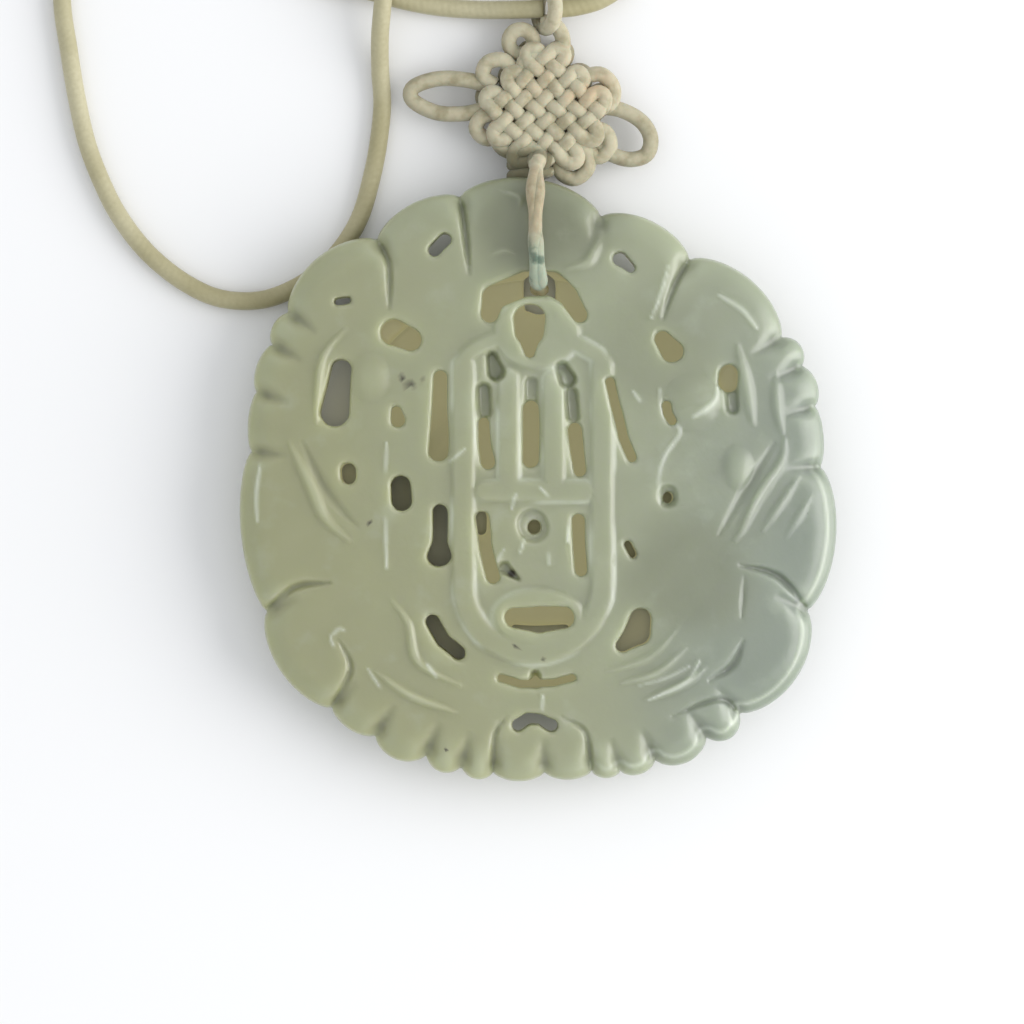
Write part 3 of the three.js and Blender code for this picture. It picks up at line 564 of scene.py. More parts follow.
def carved_field(plan):
    """The carving as one field over space, negative in the stone."""
    z = np.arange(JADE_LOW, JADE_HIGH + plan.step, plan.step)[None, None, :]
    h = plan.step
    slope_front = np.sqrt(1 + sum(g ** 2 for g in np.gradient(plan.front, h)))[:, :, None]
    slope_back = np.sqrt(1 + sum(g ** 2 for g in np.gradient(plan.back, h)))[:, :, None]
    above = (z - plan.front[:, :, None]) / slope_front
    below = (plan.back[:, :, None] - z) / slope_back
    body = np.maximum(above, below)
    body = smooth_max(body, -plan.inward[:, :, None] + 0 * z, RIM_ROUND)
    radius = np.hypot(plan.x, plan.y)[:, :, None]
    middle = (CAVITY_ROOF + CAVITY_FLOOR) / 2
    hollow = np.maximum(radius - CAVITY_RADIUS, np.abs(z - middle) - (CAVITY_ROOF - CAVITY_FLOOR) / 2)
    body = smooth_max(body, -hollow, EDGE_ROUND)
    through = plan.holes(THROUGH, 1.0)[:, :, None]
    body = smooth_max(body, -through + 0 * z, HOLE_ROUND)
    front_hole = smooth_max(plan.holes(FRONT_ONLY, 2.0)[:, :, None] + 0 * z, MIDDLE_Z - z, 0.5)
    body = smooth_max(body, -front_hole, HOLE_ROUND)
    back_hole = smooth_max(plan.holes(BACK_ONLY, 3.0)[:, :, None] + 0 * z, z - MIDDLE_Z, 0.5)
    body = smooth_max(body, -back_hole, EDGE_ROUND)
    left, right, lower, depth = CHANNEL
    side = np.maximum(np.maximum(left - plan.x, plan.x - right), lower - plan.y)[:, :, None]
    channel = np.maximum(side + 0 * z, z - depth)
    return smooth_max(body, -channel, EDGE_ROUND)


def iso_surface(field, step, origin):
    """The zero surface of a field as points and quads or triangles."""
    grid = openvdb.FloatGrid(float(field.max()))
    grid.copyFromArray(np.ascontiguousarray(field, dtype=np.float32))
    points, triangles, quads = grid.convertToPolygons(0.0, 0.0)
    points = points * step + np.array(origin)
    faces = np.concatenate((quads[:, [0, 1, 2]], quads[:, [0, 2, 3]], triangles)) if len(triangles) else (
        np.concatenate((quads[:, [0, 1, 2]], quads[:, [0, 2, 3]])))
    return points, faces


def outward_faces(points, faces):
    """The same faces, turned so that they enclose a positive volume."""
    a, b, c = (points[faces[:, k]] for k in range(3))
    volume = np.einsum("ij,ij->i", a, np.cross(b, c)).sum()
    return faces if volume > 0 else faces[:, ::-1]


# ---- shader expressions --------------------------------------------------------------


class Value:
    """A socket's value in a material, written in ordinary arithmetic."""

    def __init__(self, finish, socket):
        self.finish = finish
        self.socket = socket

    def maths(self, operation, *others):
        inputs = dict(enumerate((self, *others)))
        return self.finish.value("ShaderNodeMath", {"operation": operation}, inputs)

    def __add__(self, other):
        return self.maths("ADD", other)

    __radd__ = __add__

    def __mul__(self, other):
        return self.maths("MULTIPLY", other)

    __rmul__ = __mul__

    def __sub__(self, other):
        return self.maths("SUBTRACT", other)

    def __rsub__(self, other):
        return (self * -1) + other

    def __pow__(self, power):
        return self.maths("POWER", power)

    def between(self, low, high):
        """0 at low, 1 at high and smooth between them."""
        inputs = {"Value": self, "From Min": low, "From Max": high}
        return self.finish.value("ShaderNodeMapRange", {"interpolation_type": "SMOOTHSTEP"}, inputs)


class Finish:
    """One material, its Principled shader and the nodes that feed it."""

    def __init__(self, name, **plain):
        self.material = bpy.data.materials.new(name)
        self.material.use_nodes = True
        self.tree = self.material.node_tree
        self.shader = self.tree.nodes["Principled BSDF"]
        for key, value in plain.items():
            self.shader.inputs[key.replace("_", " ")].default_value = value

    def node(self, kind, settings=None, inputs=None):
        node = self.tree.nodes.new(kind)
        for key, value in (settings or {}).items():
            setattr(node, key, value)
        for key, value in (inputs or {}).items():
            if isinstance(value, Value):
                self.tree.links.new(value.socket, node.inputs[key])
            else:
                node.inputs[key].default_value = value
        return node

    def value(self, kind, settings=None, inputs=None, output=0):
        return Value(self, self.node(kind, settings, inputs).outputs[output])

    def attribute(self, name):
        return self.value("ShaderNodeAttribute", {"attribute_name": name}, output="Fac")

    def place(self):
        """The three coordinates on the piece, in millimetres, and the vector itself in metres."""
        vector = self.value("ShaderNodeTexCoord", output="Object")
        parts = self.node("ShaderNodeSeparateXYZ", inputs={0: vector})
        return [Value(self, parts.outputs[k]) * 1000 for k in range(3)] + [vector]

    def noise(self, vector, size, detail=3.0, seed=0.0):
        """Cloudy noise about 0.5 with features of the given size in metres."""
        inputs = {"Vector": vector, "W": seed, "Scale": 1 / size, "Detail": detail}
        return self.value("ShaderNodeTexNoise", {"noise_dimensions": "4D"}, inputs)

    def mix(self, factor, first, second):
        node = self.node("ShaderNodeMix", {"data_type": "RGBA"}, {0: factor, 6: first, 7: second})
        return Value(self, node.outputs[2])

    def feed(self, **fields):
        for key, value in fields.items():
            self.tree.links.new(value.socket, self.shader.inputs[key.replace("_", " ")])

    def bump(self, height, strength, distance):
        inputs = {"Height": height, "Strength": strength, "Distance": distance}
        self.feed(Normal=self.value("ShaderNodeBump", {}, inputs))


def colour(srgb):
    """A colour as it is seen, 0 to 255, turned into light values with full cover."""
    light = [(c / 255 / 12.92) if c <= 10 else ((c / 255 + 0.055) / 1.055) ** 2.4 for c in srgb]
    return (*light, 1.0)


# ---- finishes ------------------------------------------------------------------------

JADE_GREEN = colour((153, 158, 133))
JADE_YELLOW = colour((156, 157, 121))
JADE_BLUE = colour((130, 140, 132))
JADE_OLIVE = colour((118, 122, 98))
# Brown of the cavity's inner walls, partly dirt and partly painted shade.
JADE_BROWN = colour((134, 118, 76))
JADE_PALE = colour((182, 188, 172))
# Colour of the painted highlight along the fine lines.
JADE_HIGHLIGHT = colour((206, 212, 198))
# Painted glow on the cavity's inner walls, standing in for light let through the stone.
JADE_PAINTED_GLOW = colour((122, 120, 92))
DIRT = colour((52, 46, 30))
# Darker olive areas in the frame's millimetres: centre, reach and strength.
OLIVE_AREAS = [
    (-1.0, 15.5, 9.0, 0.75),
    (4.5, 16.0, 6.0, 0.35),
    (14.5, -19.0, 9.0, 0.5),
    (11.0, 3.0, 8.0, 0.3),
]


def jade_finish(settings):
    """Polished pale nephrite: cloudy green, yellow at the left, blue at the right; brown inside, partly
    dirt and partly painted shade, with a painted glow there, and painted highlight and shade on the
    relief.
    """
    finish = Finish("jade", IOR=1.61, Subsurface_Weight=settings.glow, Subsurface_Scale=0.004,
                    Coat_Weight=0.15, Coat_Roughness=0.2, Emission_Strength=1.0)
    finish.shader.inputs["Subsurface Radius"].default_value = (0.9, 1.0, 0.7)
    x, y, z, vector = finish.place()
    clouds = finish.noise(vector, 0.013, 4.0)
    wisps = finish.noise(vector, 0.0035, 5.0, 3.0)
    left = (y * -0.35 - x + (clouds - 0.5) * 22).between(-8, 30)
    right = (x + y * -0.15 + (clouds - 0.5) * 16).between(8, 30)
    tone = finish.mix(left, tuple(settings.stone), JADE_YELLOW)
    tone = finish.mix(right * 0.75, tone, JADE_BLUE)
    for centre_x, centre_y, reach, share in OLIVE_AREAS:
        away = ((x - centre_x) ** 2 + (y - centre_y) ** 2) ** 0.5 + (clouds - 0.5) * 8
        tone = finish.mix(away.between(reach, reach * 0.35) * share, tone, JADE_OLIVE)
    tone = finish.mix(wisps.between(0.55, 0.78) * 0.25, tone, JADE_PALE)
    # Painted highlight on the crests of the relief and painted shade in its creases, from how far each
    # place stands above its surroundings.
    relief_highlight_and_shade = finish.attribute("relief_highlight_and_shade")
    tone = finish.mix(relief_highlight_and_shade.between(0.05, 0.4) * 0.25, tone, JADE_PALE)
    tone = finish.mix((relief_highlight_and_shade * -1).between(0.05, 0.45) * 0.2, tone, JADE_OLIVE)
    # Painted highlight along the fine lines, broken by the cloudy wisps.
    line = finish.attribute("line")
    tone = finish.mix(line * (0.35 + wisps * 0.6), tone, JADE_HIGHLIGHT)
    # The cavity's inner walls: brown, partly dirt and partly painted shade, and a painted glow that
    # stands in for light let through the stone.
    inside = finish.attribute("inside")
    tone = finish.mix(inside * (0.55 + wisps * 0.3), tone, JADE_BROWN)
    tone = finish.mix(finish.attribute("dirt"), tone, DIRT)
    finish.feed(Base_Color=tone, Emission_Color=finish.mix(inside, (0, 0, 0, 1), JADE_PAINTED_GLOW))
    finish.feed(Roughness=0.24 + wisps * 0.16 + inside * 0.25)
    grain = finish.noise(vector, 0.0009, 3.0, 1.0)
    finish.bump(grain + wisps * 2, 0.12, 0.0002)
    return finish.material


CORD_CREAM = colour((192, 186, 160))
CORD_SHADE = colour((136, 128, 96))
CORD_DARK = colour((104, 100, 72))
CORD_PINK = colour((200, 168, 130))
CORD_GREEN = colour((150, 164, 144))
CORD_MOSS = colour((74, 96, 80))


def knot_finish(settings):
    """Cream braided cord, smudged and pinkish in places, with painted shade low between its strands and
    on its binding.
    """
    finish = Finish("knot_cord", Sheen_Weight=0.2, Sheen_Roughness=0.5, Subsurface_Weight=0.15,
                    Subsurface_Scale=0.0006)
    vector = finish.place()[3]
    along = finish.attribute("along")
    around = finish.attribute("around")
    patches = finish.noise(vector, 0.004, 3.0, 2.0)
    fibres = finish.noise(vector, 0.0004, 3.0, 5.0)
    smudges = finish.noise(vector, 0.0016, 4.0, 8.0)
    pink = finish.attribute("pink") * patches.between(0.35, 0.62)
    tone = finish.mix(pink, tuple(settings.cord), CORD_PINK)
    tone = finish.mix(fibres * 0.35 + smudges.between(0.45, 0.7) * 0.5, tone, CORD_SHADE)
    # Painted shade low in the knot and on its binding, and the hanging strand's own darker tone.
    tone = finish.mix(finish.attribute("shade_and_strand_tone"), tone, CORD_DARK)
    stain = finish.attribute("stain")
    tone = finish.mix(stain * 0.8, tone, CORD_GREEN)
    tone = finish.mix(stain * smudges.between(0.5, 0.62) * 0.8, tone, CORD_MOSS)
    left_lay = (along * 4.2 + around * 3).maths("SINE")
    right_lay = (along * 4.2 - around * 3).maths("SINE")
    braid = left_lay.maths("MAXIMUM", right_lay)
    finish.feed(Base_Color=tone, Roughness=0.78 + fibres * 0.15)
    finish.bump(braid * 0.7 + fibres + smudges * 2, 0.35, 0.00008)
    return finish.material


SATIN_OLIVE = colour((164, 157, 119))
SATIN_PALE = colour((196, 190, 158))
SATIN_SHADE = colour((120, 112, 74))


def satin_finish(settings):
    """Satin neck cord: fine threads laid round it, olive cream with darker wear."""
    finish = Finish("neck_cord", Sheen_Weight=0.35, Sheen_Roughness=0.35, Coat_Weight=0.08,
                    Coat_Roughness=0.4)
    vector = finish.place()[3]
    along = finish.attribute("along")
    around = finish.attribute("around")
    patches = finish.noise(vector, 0.012, 3.0, 7.0)
    fibres = finish.noise(vector, 0.00035, 2.0, 9.0)
    tone = finish.mix(patches.between(0.35, 0.7), tuple(settings.cord), SATIN_PALE)
    tone = finish.mix(fibres * 0.3, tone, SATIN_SHADE)
    threads = (along * 9 + around * 2).maths("SINE")
    finish.feed(Base_Color=tone, Roughness=0.5 + fibres * 0.2)
    finish.bump(threads * 0.5 + fibres, 0.3, 0.00006)
    return finish.material


# ---- tubes ---------------------------------------------------------------------------


def dense_path(points, spacing, closed=False):
    """A smooth curve through points, resampled to even steps."""
    points = np.array(points, float)
    if closed:
        ends = np.vstack((points[-1], points, points[:2]))
        spans = len(points)
    else:
        ends = np.vstack((2 * points[0] - points[1], points, 2 * points[-1] - points[-2]))
        spans = len(points) - 1
    fine = []
    for i in range(spans):
        a, b, c, d = ends[i:i + 4]
        for t in np.arange(12) / 12:
            fine.append(0.5 * (2 * b + (c - a) * t + (2 * a - 5 * b + 4 * c - d) * t ** 2
                               + (3 * b - a - 3 * c + d) * t ** 3))
    fine.append(ends[spans + 1])
    fine = np.array(fine)
    run = np.concatenate(([0], np.cumsum(np.linalg.norm(np.diff(fine, axis=0), axis=1))))
    count = max(4, int(round(run[-1] / spacing)))
    stops = np.linspace(0, run[-1], count + 1)
    return np.column_stack([np.interp(stops, run, fine[:, k]) for k in range(3)])


class Tubes:
    """Round cords gathered into one mesh, with their running length and turn kept on the points."""

    def __init__(self):
        self.points, self.faces = [], []
        self.along, self.around = [], []

    def add(self, path, diameters, sides=12, closed=False, flat=None):
        """Sweeps a round section along a path; flat squeezes it in height at each point."""
        path = np.array(path, float)
        if closed:
            path = path[:-1]
        count = len(path)
        radius = np.broadcast_to(np.array(diameters, float) / 2, (count,))
        ahead = np.roll(path, -1, axis=0) - np.roll(path, 1, axis=0)
        if not closed:
            ahead[0] = path[1] - path[0]
            ahead[-1] = path[-1] - path[-2]
        ahead = ahead / np.linalg.norm(ahead, axis=1)[:, None]
        side = np.cross(ahead[0], (0, 0, 1))
        if np.linalg.norm(side) < 0.1:
            side = np.cross(ahead[0], (1, 0, 0))
        start = sum(len(p) for p in self.points)
        run = 0.0
        rings = []
        for i in range(count):
            side = side - ahead[i] * np.dot(side, ahead[i])
            side = side / np.linalg.norm(side)
            up = np.cross(side, ahead[i])
            angle = 2 * math.pi * np.arange(sides) / sides
            ring = (path[i] + radius[i] * (np.cos(angle)[:, None] * side + np.sin(angle)[:, None] * up))
            if flat is not None:
                ring[:, 2] = path[i, 2] + (ring[:, 2] - path[i, 2]) * flat
            rings.append(ring)
            if i:
                run += np.linalg.norm(path[i] - path[i - 1])
            self.along.append(np.full(sides, run))
            self.around.append(angle)
        self.points.append(np.concatenate(rings))
        k = np.arange(sides)
        for i in range(count if closed else count - 1):
            a = start + i * sides
            b = start + ((i + 1) % count) * sides
            quads = np.column_stack((a + k, a + (k + 1) % sides, b + (k + 1) % sides, b + k))
            self.faces.extend(quads.tolist())
        if not closed:
            self.faces.append((start + k[::-1]).tolist())
            self.faces.append((start + (count - 1) * sides + k).tolist())

    def piece(self, name, material):
        points = place(np.concatenate(self.points))
        attributes = {"along": np.concatenate(self.along), "around": np.concatenate(self.around)}
        return new_piece(name, points, self.faces, material, attributes)


# ---- the jade ------------------------------------------------------------------------

PLAN_STEP = 0.2
DIRT_SPECKS = [
    (-13.2, 10.4, 0.35), (-12.2, 9.6, 0.28), (-11.3, 10.0, 0.25), (-17.8, -9.3, 0.16), (-16.3, -3.9, 0.3),
    (-2.3, -15.8, 0.25), (0.3, -17.0, 0.22), (-9.0, -25.9, 0.2), (-2.6, -8.7, 0.5), (16.0, 11.4, 0.2),
]


def build_jade(settings):
    plan = Plan(PLAN_STEP)
    field = carved_field(plan)
    origin = (plan.x_line[0], plan.y_line[0], JADE_LOW)
    points, faces = iso_surface(field, plan.step, origin)
    faces = outward_faces(points, faces)
    jade = new_piece("jade", place(points), faces, jade_finish(settings))
    share = JADE_FACES / len(faces)
    if share < 1:
        apply_modifier(jade, "DECIMATE", ratio=share)
    mark_jade(jade, plan)
    return jade


def mark_jade(jade, plan):
    """Writes on the points what the finish needs: crests and creases for painted highlight and shade, the
    painted highlight lines, the inner walls for their brown and painted glow, and dirt.
    """
    jade.data.polygons.foreach_set("use_smooth", np.ones(len(jade.data.polygons), bool))
    x, y, z = ((points_of(jade) - np.array(layout_offset())) / MM).T
    depth = plan.at(plan.front, x, y) - z
    on_face = np.clip(1 - np.abs(depth) / 0.5, 0, 1)
    # How far each place stands above its surroundings: painted highlight on crests, painted shade in
    # creases.
    sharp = plan.front - blurred(plan.front, max(1, round(0.8 / plan.step)))
    set_attribute(jade, "relief_highlight_and_shade", plan.at(sharp, x, y) * on_face)
    # Where the painted highlight lines fall, on the face only.
    set_attribute(jade, "line", plan.at(plan.lines, x, y) * on_face)
    # Inner walls of the cavity: their brown is partly dirt and partly painted shade, and they carry a
    # painted glow; the darker holes are left out.
    rise = z - plan.at(plan.back, x, y)
    inside = smooth_step(depth, 0.5, 2.2) * smooth_step(rise, 0.15, 1.2)
    inside *= smooth_step(plan.at(plan.inward, x, y), 1.5, 4.0)
    inside *= smooth_step(plan.at(plan.holes(DARK_HOLES, 1.0), x, y), 0.2, 1.0)
    set_attribute(jade, "inside", inside)
    dirt = np.zeros(len(x))
    for sx, sy, size in DIRT_SPECKS:
        dirt = np.maximum(dirt, 1 - smooth_step(np.hypot(x - sx, y - sy), size * 0.5, size))
    set_attribute(jade, "dirt", dirt * (depth < 1.5))


# ---- the knot ------------------------------------------------------------------------

KNOT_CORD = 1.5
WEAVE = {"x": 0.7, "y": 36.6, "strands": 6, "pitch": 1.46, "reach": 4.1, "high": 3.45, "low": 0.95}
WEAVE_LIFT = 0.38
LOOPS_OUT = (0.1, 0.7, 0.0, 0.5, 0.3, 0.6, 0.0, 0.4)
PAD = {"reach": 4.2, "width": 8.6, "flat": 0.2, "z": 2.2}
SIDE_LOOPS = [
    [(-2.4, 40.4, 2.7), (-3.5, 41.5, 2.9), (-5.0, 41.2, 2.8), (-5.4, 39.9, 2.6), (-4.2, 39.0, 2.7)],
    [(-3.4, 36.2, 2.8), (-5.4, 36.0, 2.8), (-6.1, 34.8, 2.6), (-5.0, 33.8, 2.5), (-3.2, 34.3, 2.8)],
    [(-3.5, 34.9, 3.0), (-4.0, 33.6, 3.0), (-3.0, 32.6, 2.9), (-1.5, 32.7, 3.1), (-0.5, 33.6, 3.2)],
    [(3.0, 33.8, 2.9), (4.7, 32.6, 2.8), (4.8, 30.9, 2.5), (3.5, 29.9, 2.3), (2.2, 30.6, 2.3),
     (1.8, 32.2, 2.5)],
    [(4.6, 34.9, 2.8), (6.5, 34.5, 2.8), (7.0, 33.0, 2.6), (5.9, 32.0, 2.5), (4.8, 32.7, 2.6)],
    [(4.2, 39.8, 2.8), (6.1, 40.1, 2.9), (7.3, 38.8, 2.8), (7.0, 37.2, 2.7), (5.2, 36.9, 2.9)],
    [(0.9, 41.2, 3.0), (0.0, 42.0, 3.3), (-1.2, 41.6, 3.2), (-1.6, 40.5, 3.0)],
]
BINDING = {"x": -0.75, "z": 2.3, "half_width": 1.75, "half_height": 1.5, "rows": (32.6, 31.5, 30.4)}
EARS = [
    [(-4.6, 39.0, 2.2), (-7.2, 39.6, 2.2), (-9.8, 39.7, 2.1), (-12.2, 38.9, 2.0), (-12.3, 37.6, 2.0),
     (-10.0, 36.4, 2.1), (-7.2, 36.3, 2.2), (-4.6, 36.9, 2.2)],
    [(6.0, 37.0, 2.2), (8.2, 36.6, 2.2), (10.1, 35.5, 2.1), (11.0, 33.9, 2.0), (10.6, 32.3, 2.0),
     (9.0, 31.8, 2.1), (7.2, 32.3, 2.2), (5.4, 33.6, 2.2)],
]
TOP_LOOP = (-1.7, 43.3, 2.5, 1.2)
HANGER = (0.8, 46.5, 2.7, 1.9)
TOP_STRAND = [(1.5, 40.6, 2.9), (2.3, 42.2, 3.0), (2.3, 43.9, 3.0), (1.4, 45.1, 2.9), (0.5, 45.2, 2.5)]
STRAND = [
    (-0.1, 32.4, 3.2), (-0.15, 31.2, 5.0), (-0.25, 30.2, 6.6), (-0.3, 28.7, 7.9), (-0.3, 27.0, 8.35),
    (-0.3, 24.4, 8.75), (-0.2, 22.4, 8.95), (-0.1, 20.9, 9.05), (0.0, 19.8, 8.3), (0.1, 19.4, 6.2),
    (0.1, 19.1, 3.8), (0.1, 19.3, 1.9), (0.1, 20.8, 1.0), (0.1, 24.0, 1.0), (0.1, 28.0, 1.0),
    (0.1, 31.5, 1.6),
]
STRAND_D = 1.5


def woven_point(along, across, height):
    """A place on the woven square, whose sides run at 45 degrees."""
    x = WEAVE["x"] + (along - across) * math.sqrt(0.5)
    y = WEAVE["y"] + (along + across) * math.sqrt(0.5)
    return (x, y, height)


def serpentine(level, family, phase):
    """One cord that runs to and fro across the square, over and under the other family."""
    pitch, reach, strands = WEAVE["pitch"], WEAVE["reach"], WEAVE["strands"]
    path = []
    for k in range(strands):
        across = (k - (strands - 1) / 2) * pitch
        direction = 1 if k % 2 == 0 else -1
        for s in np.linspace(-reach, reach, 27):
            along = s * direction
            lift = WEAVE_LIFT * math.cos(math.pi * (along / pitch + 0.5 + k + phase))
            drift = 0.13 * math.sin(1.1 * along + 2.3 * k + 1.7 * family + phase)
            path.append((along, across + drift, level + lift))
        if k < strands - 1:
            extra = LOOPS_OUT[(k + 3 * family + 5 * phase) % len(LOOPS_OUT)]
            for a in np.linspace(-math.pi / 2, math.pi / 2, 7)[1:-1]:
                out = reach + (pitch / 2 * 1.15 + extra) * math.cos(a)
                swell = 1 + 0.3 * extra * math.cos(a)
                path.append((out * direction, across + pitch / 2 * (1 + swell * math.sin(a)), level))
    return [woven_point(a, b, h) if family == 0 else woven_point(b, a, h) for a, b, h in path]


def ring_points(centre, first, second, count=12):
    """Points of an ellipse, from its centre and its two half axes."""
    angles = np.linspace(0, 2 * math.pi, count, endpoint=False)[:, None]
    return np.array(centre) + np.cos(angles) * np.array(first) + np.sin(angles) * np.array(second)


def build_knot(settings):
    tubes = Tubes()
    width = settings.diameter
    for level, phase in ((WEAVE["high"], 0), (WEAVE["low"], 1)):
        for family in (0, 1):
            path = dense_path(serpentine(level, family, phase + family), 0.22)
            away = np.abs(path[:, :2] - (WEAVE["x"], WEAVE["y"])).sum(axis=1) * math.sqrt(0.5)
            thick = width * (0.9 + 0.14 * smooth_step(away, WEAVE["reach"] - 0.8, WEAVE["reach"] + 0.6))
            tubes.add(path, thick, 10, flat=0.88)
    # A flat filler under the weave, which the painted shade low in the knot darkens so the gaps between
    # the cords read dark.
    pad = [woven_point(s * PAD["reach"], 0, PAD["z"]) for s in (-1, -0.5, 0, 0.5, 1)]
    tubes.add(dense_path(pad, 1.0), PAD["width"], 24, flat=PAD["flat"])
    for loop in EARS + SIDE_LOOPS + [TOP_STRAND]:
        tubes.add(dense_path(loop, 0.3), width * 1.02, 14)
    x, y, z, radius = TOP_LOOP
    loop = ring_points((x, y, z), (radius, 0, 0), (0, radius, 0.3))
    tubes.add(dense_path(loop, 0.3, closed=True), width, 14, closed=True)
    x, y, z, radius = HANGER
    loop = ring_points((x, y, z), (0, radius, 0), (0.45 * radius, 0, 0.9 * radius))
    tubes.add(dense_path(loop, 0.3, closed=True), width, 14, closed=True)
    for row in BINDING["rows"]:
        loop = ring_points((BINDING["x"], row, BINDING["z"]), (BINDING["half_width"], 0.25, 0),
                           (0, 0, BINDING["half_height"]))
        tubes.add(dense_path(loop, 0.3, closed=True), 1.3, 12, closed=True)
    add_strand(tubes)
    knot = tubes.piece("knotted_cord", knot_finish(settings))
    mark_knot(knot)
    return knot


def add_strand(tubes):
    """Two soft plies, laid together with a slow twist, from the knot down through the jade."""
    centre = dense_path(STRAND, 0.25)
    run = np.arange(len(centre)) * 0.25
    thick = STRAND_D * (1.18 - 0.2 * smooth_step(run, 1.5, 6) + 0.12 * np.sin(run * 1.3))
    for turn in (0, math.pi):
        twist = run / 15 * 2 * math.pi + turn + 0.4
        sway = np.column_stack((np.cos(twist), 0.3 * np.sin(twist), 0.3 * np.sin(twist)))
        tubes.add(centre + sway * 0.17 * thick[:, None], thick * 0.82, 12)


def mark_knot(knot):
    """Writes where the cord is green, where it is pinkish and where it is dark: painted shade low in the
    knot and on its binding, and the hanging strand's own darker tone.
    """
    x, y, z = ((points_of(knot) - np.array(layout_offset())) / MM).T
    hanging = smooth_step(z, 6.0, 7.2) * (y < 31)
    set_attribute(knot, "stain", hanging * smooth_step(-y, -25.5, -21.5))
    pink = np.exp(-((x - 3.4) / 3.2) ** 2 - ((y - 39.2) / 1.9) ** 2) + 0.35 * hanging * (y > 24.5)
    set_attribute(knot, "pink", np.clip(pink, 0, 1))
    # Painted shade on the binding under the knot and on cord the lower it lies; the hanging strand is
    # darker in its own tone.
    wrapped = smooth_step(-y, -33.2, -32.2) * (y > 29) * (x < 1.4) * (1 - hanging) * (z < 5)
    deep = 1 - smooth_step(z, 1.6, 3.3)
    set_attribute(knot, "shade_and_strand_tone", np.clip(wrapped * 0.85 + deep * 0.5 + 0.25 * hanging, 0, 1))


# ---- the neck cord -------------------------------------------------------------------

CORD_D = 1.8
FLOOR = CORD_D / 2 + 0.03
COIL = {"x": -5, "y": 63.5, "radii": (8.3, 10.1, 11.8), "levels": (0.93, 2.55)}
RUN = [
    (0.55, 46.5, 2.7), (-2.5, 46.45, 2.2), (-6.0, 46.5, 1.3), (-9.8, 46.8, FLOOR), (-13.5, 47.5, FLOOR),
    (-17.2, 48.5, FLOOR), (-21.5, 49.2, FLOOR), (-25.0, 51.8, FLOOR), (-25.2, 56.0, FLOOR),
    (-22.0, 58.9, FLOOR), (-18.0, 58.0, 1.0), (-15.6, 54.6, 1.8), (-15.1, 50.8, 2.9), (-15.2, 47.4, 3.2),
    (-15.5, 43.9, 2.3), (-15.5, 40.6, 1.2), (-15.3, 37.2, FLOOR), (-15.7, 33.3, FLOOR),
    (-16.4, 29.8, FLOOR), (-17.4, 26.4, FLOOR), (-18.9, 23.7, FLOOR), (-20.9, 21.4, FLOOR),
    (-23.4, 19.5, FLOOR), (-27.0, 18.1, FLOOR), (-31.1, 18.2, FLOOR), (-34.7, 19.8, FLOOR),
    (-38.2, 22.6, FLOOR), (-40.9, 26.0, FLOOR), (-42.7, 29.4, FLOOR), (-44.2, 33.3, FLOOR),
    (-45.2, 37.6, FLOOR), (-46.0, 42.4, FLOOR), (-46.7, 48.0, FLOOR), (-46.0, 55.0, FLOOR),
    (-41.5, 63.0, FLOOR), (-33.0, 70.0, FLOOR), (-22.0, 74.8, FLOOR), (-12.5, 77.1, FLOOR),
]
RETURN = [
    (8.4, 60.4, 1.8), (9.5, 57.0, FLOOR), (9.9, 53.2, FLOOR), (9.0, 49.8, 1.2), (6.4, 47.6, 1.9),
    (3.6, 46.7, 2.4), (1.05, 46.5, 2.7),
]


def coil_turns():
    """The coiled length: turns inwards on the surface, then turns outwards on top of them."""
    lower, upper = COIL["levels"]
    radii = list(reversed(COIL["radii"])) + list(COIL["radii"])
    levels = [lower] * len(COIL["radii"]) + [upper] * len(COIL["radii"])
    entry = 95
    turns = []
    for turned in range(18, (len(radii) - 1) * 360 + entry + 1, 18):
        i = turned // 360
        j = min(i + 1, len(radii) - 1)
        t = float(smooth_step(np.array(turned / 360 - i), 0.4, 1.0))
        radius = radii[i] * (1 - t) + radii[j] * t
        height = levels[i] * (1 - t) + levels[j] * t
        angle = math.radians(entry - turned)
        x = COIL["x"] + radius * math.cos(angle)
        y = COIL["y"] + radius * math.sin(angle)
        turns.append((x, y, height))
    return turns


def build_neck_cord(settings):
    route = RUN + coil_turns() + RETURN
    path = dense_path(route, 0.5)
    tubes = Tubes()
    tubes.add(path, settings.diameter, 14)
    cord = tubes.piece("neck_cord", satin_finish(settings))
    line = place(path)
    length = float(np.linalg.norm(np.diff(line, axis=0), axis=1).sum())
    return cord, line, length


# ---- the stage -----------------------------------------------------------------------


VIEW_CENTRE = (-2.58, -2.72)
WINDOW_PLACE = Vector((0.68, -0.02, 0.34))  # metres from the carving's centre: low and on the right
WINDOW_SIZE = 0.85
WINDOW_TONE = (1.0, 0.99, 0.97)
ROOM_TONE = (0.95, 0.97, 1.0, 1)
FLOOR_HALF = 1.5


def aim(item, target):
    """Turns a light so that it shines at a place."""
    item.rotation_euler = (Vector(target) - item.location).to_track_quat("-Z", "Y").to_euler()


def build_camera(settings):
    """Straight above, a little left of and below the carving's centre."""
    centre = layout_offset() + Vector((*VIEW_CENTRE, 0)) * MM
    data = bpy.data.cameras.new("camera")
    data.lens = data.sensor_width * settings.distance / settings.view_width
    data.clip_end = 5
    camera = bpy.data.objects.new("camera", data)
    camera.location = (centre.x, centre.y, FRONT_TOP * MM + settings.distance)
    bpy.context.scene.collection.objects.link(camera)
    bpy.context.scene.camera = camera


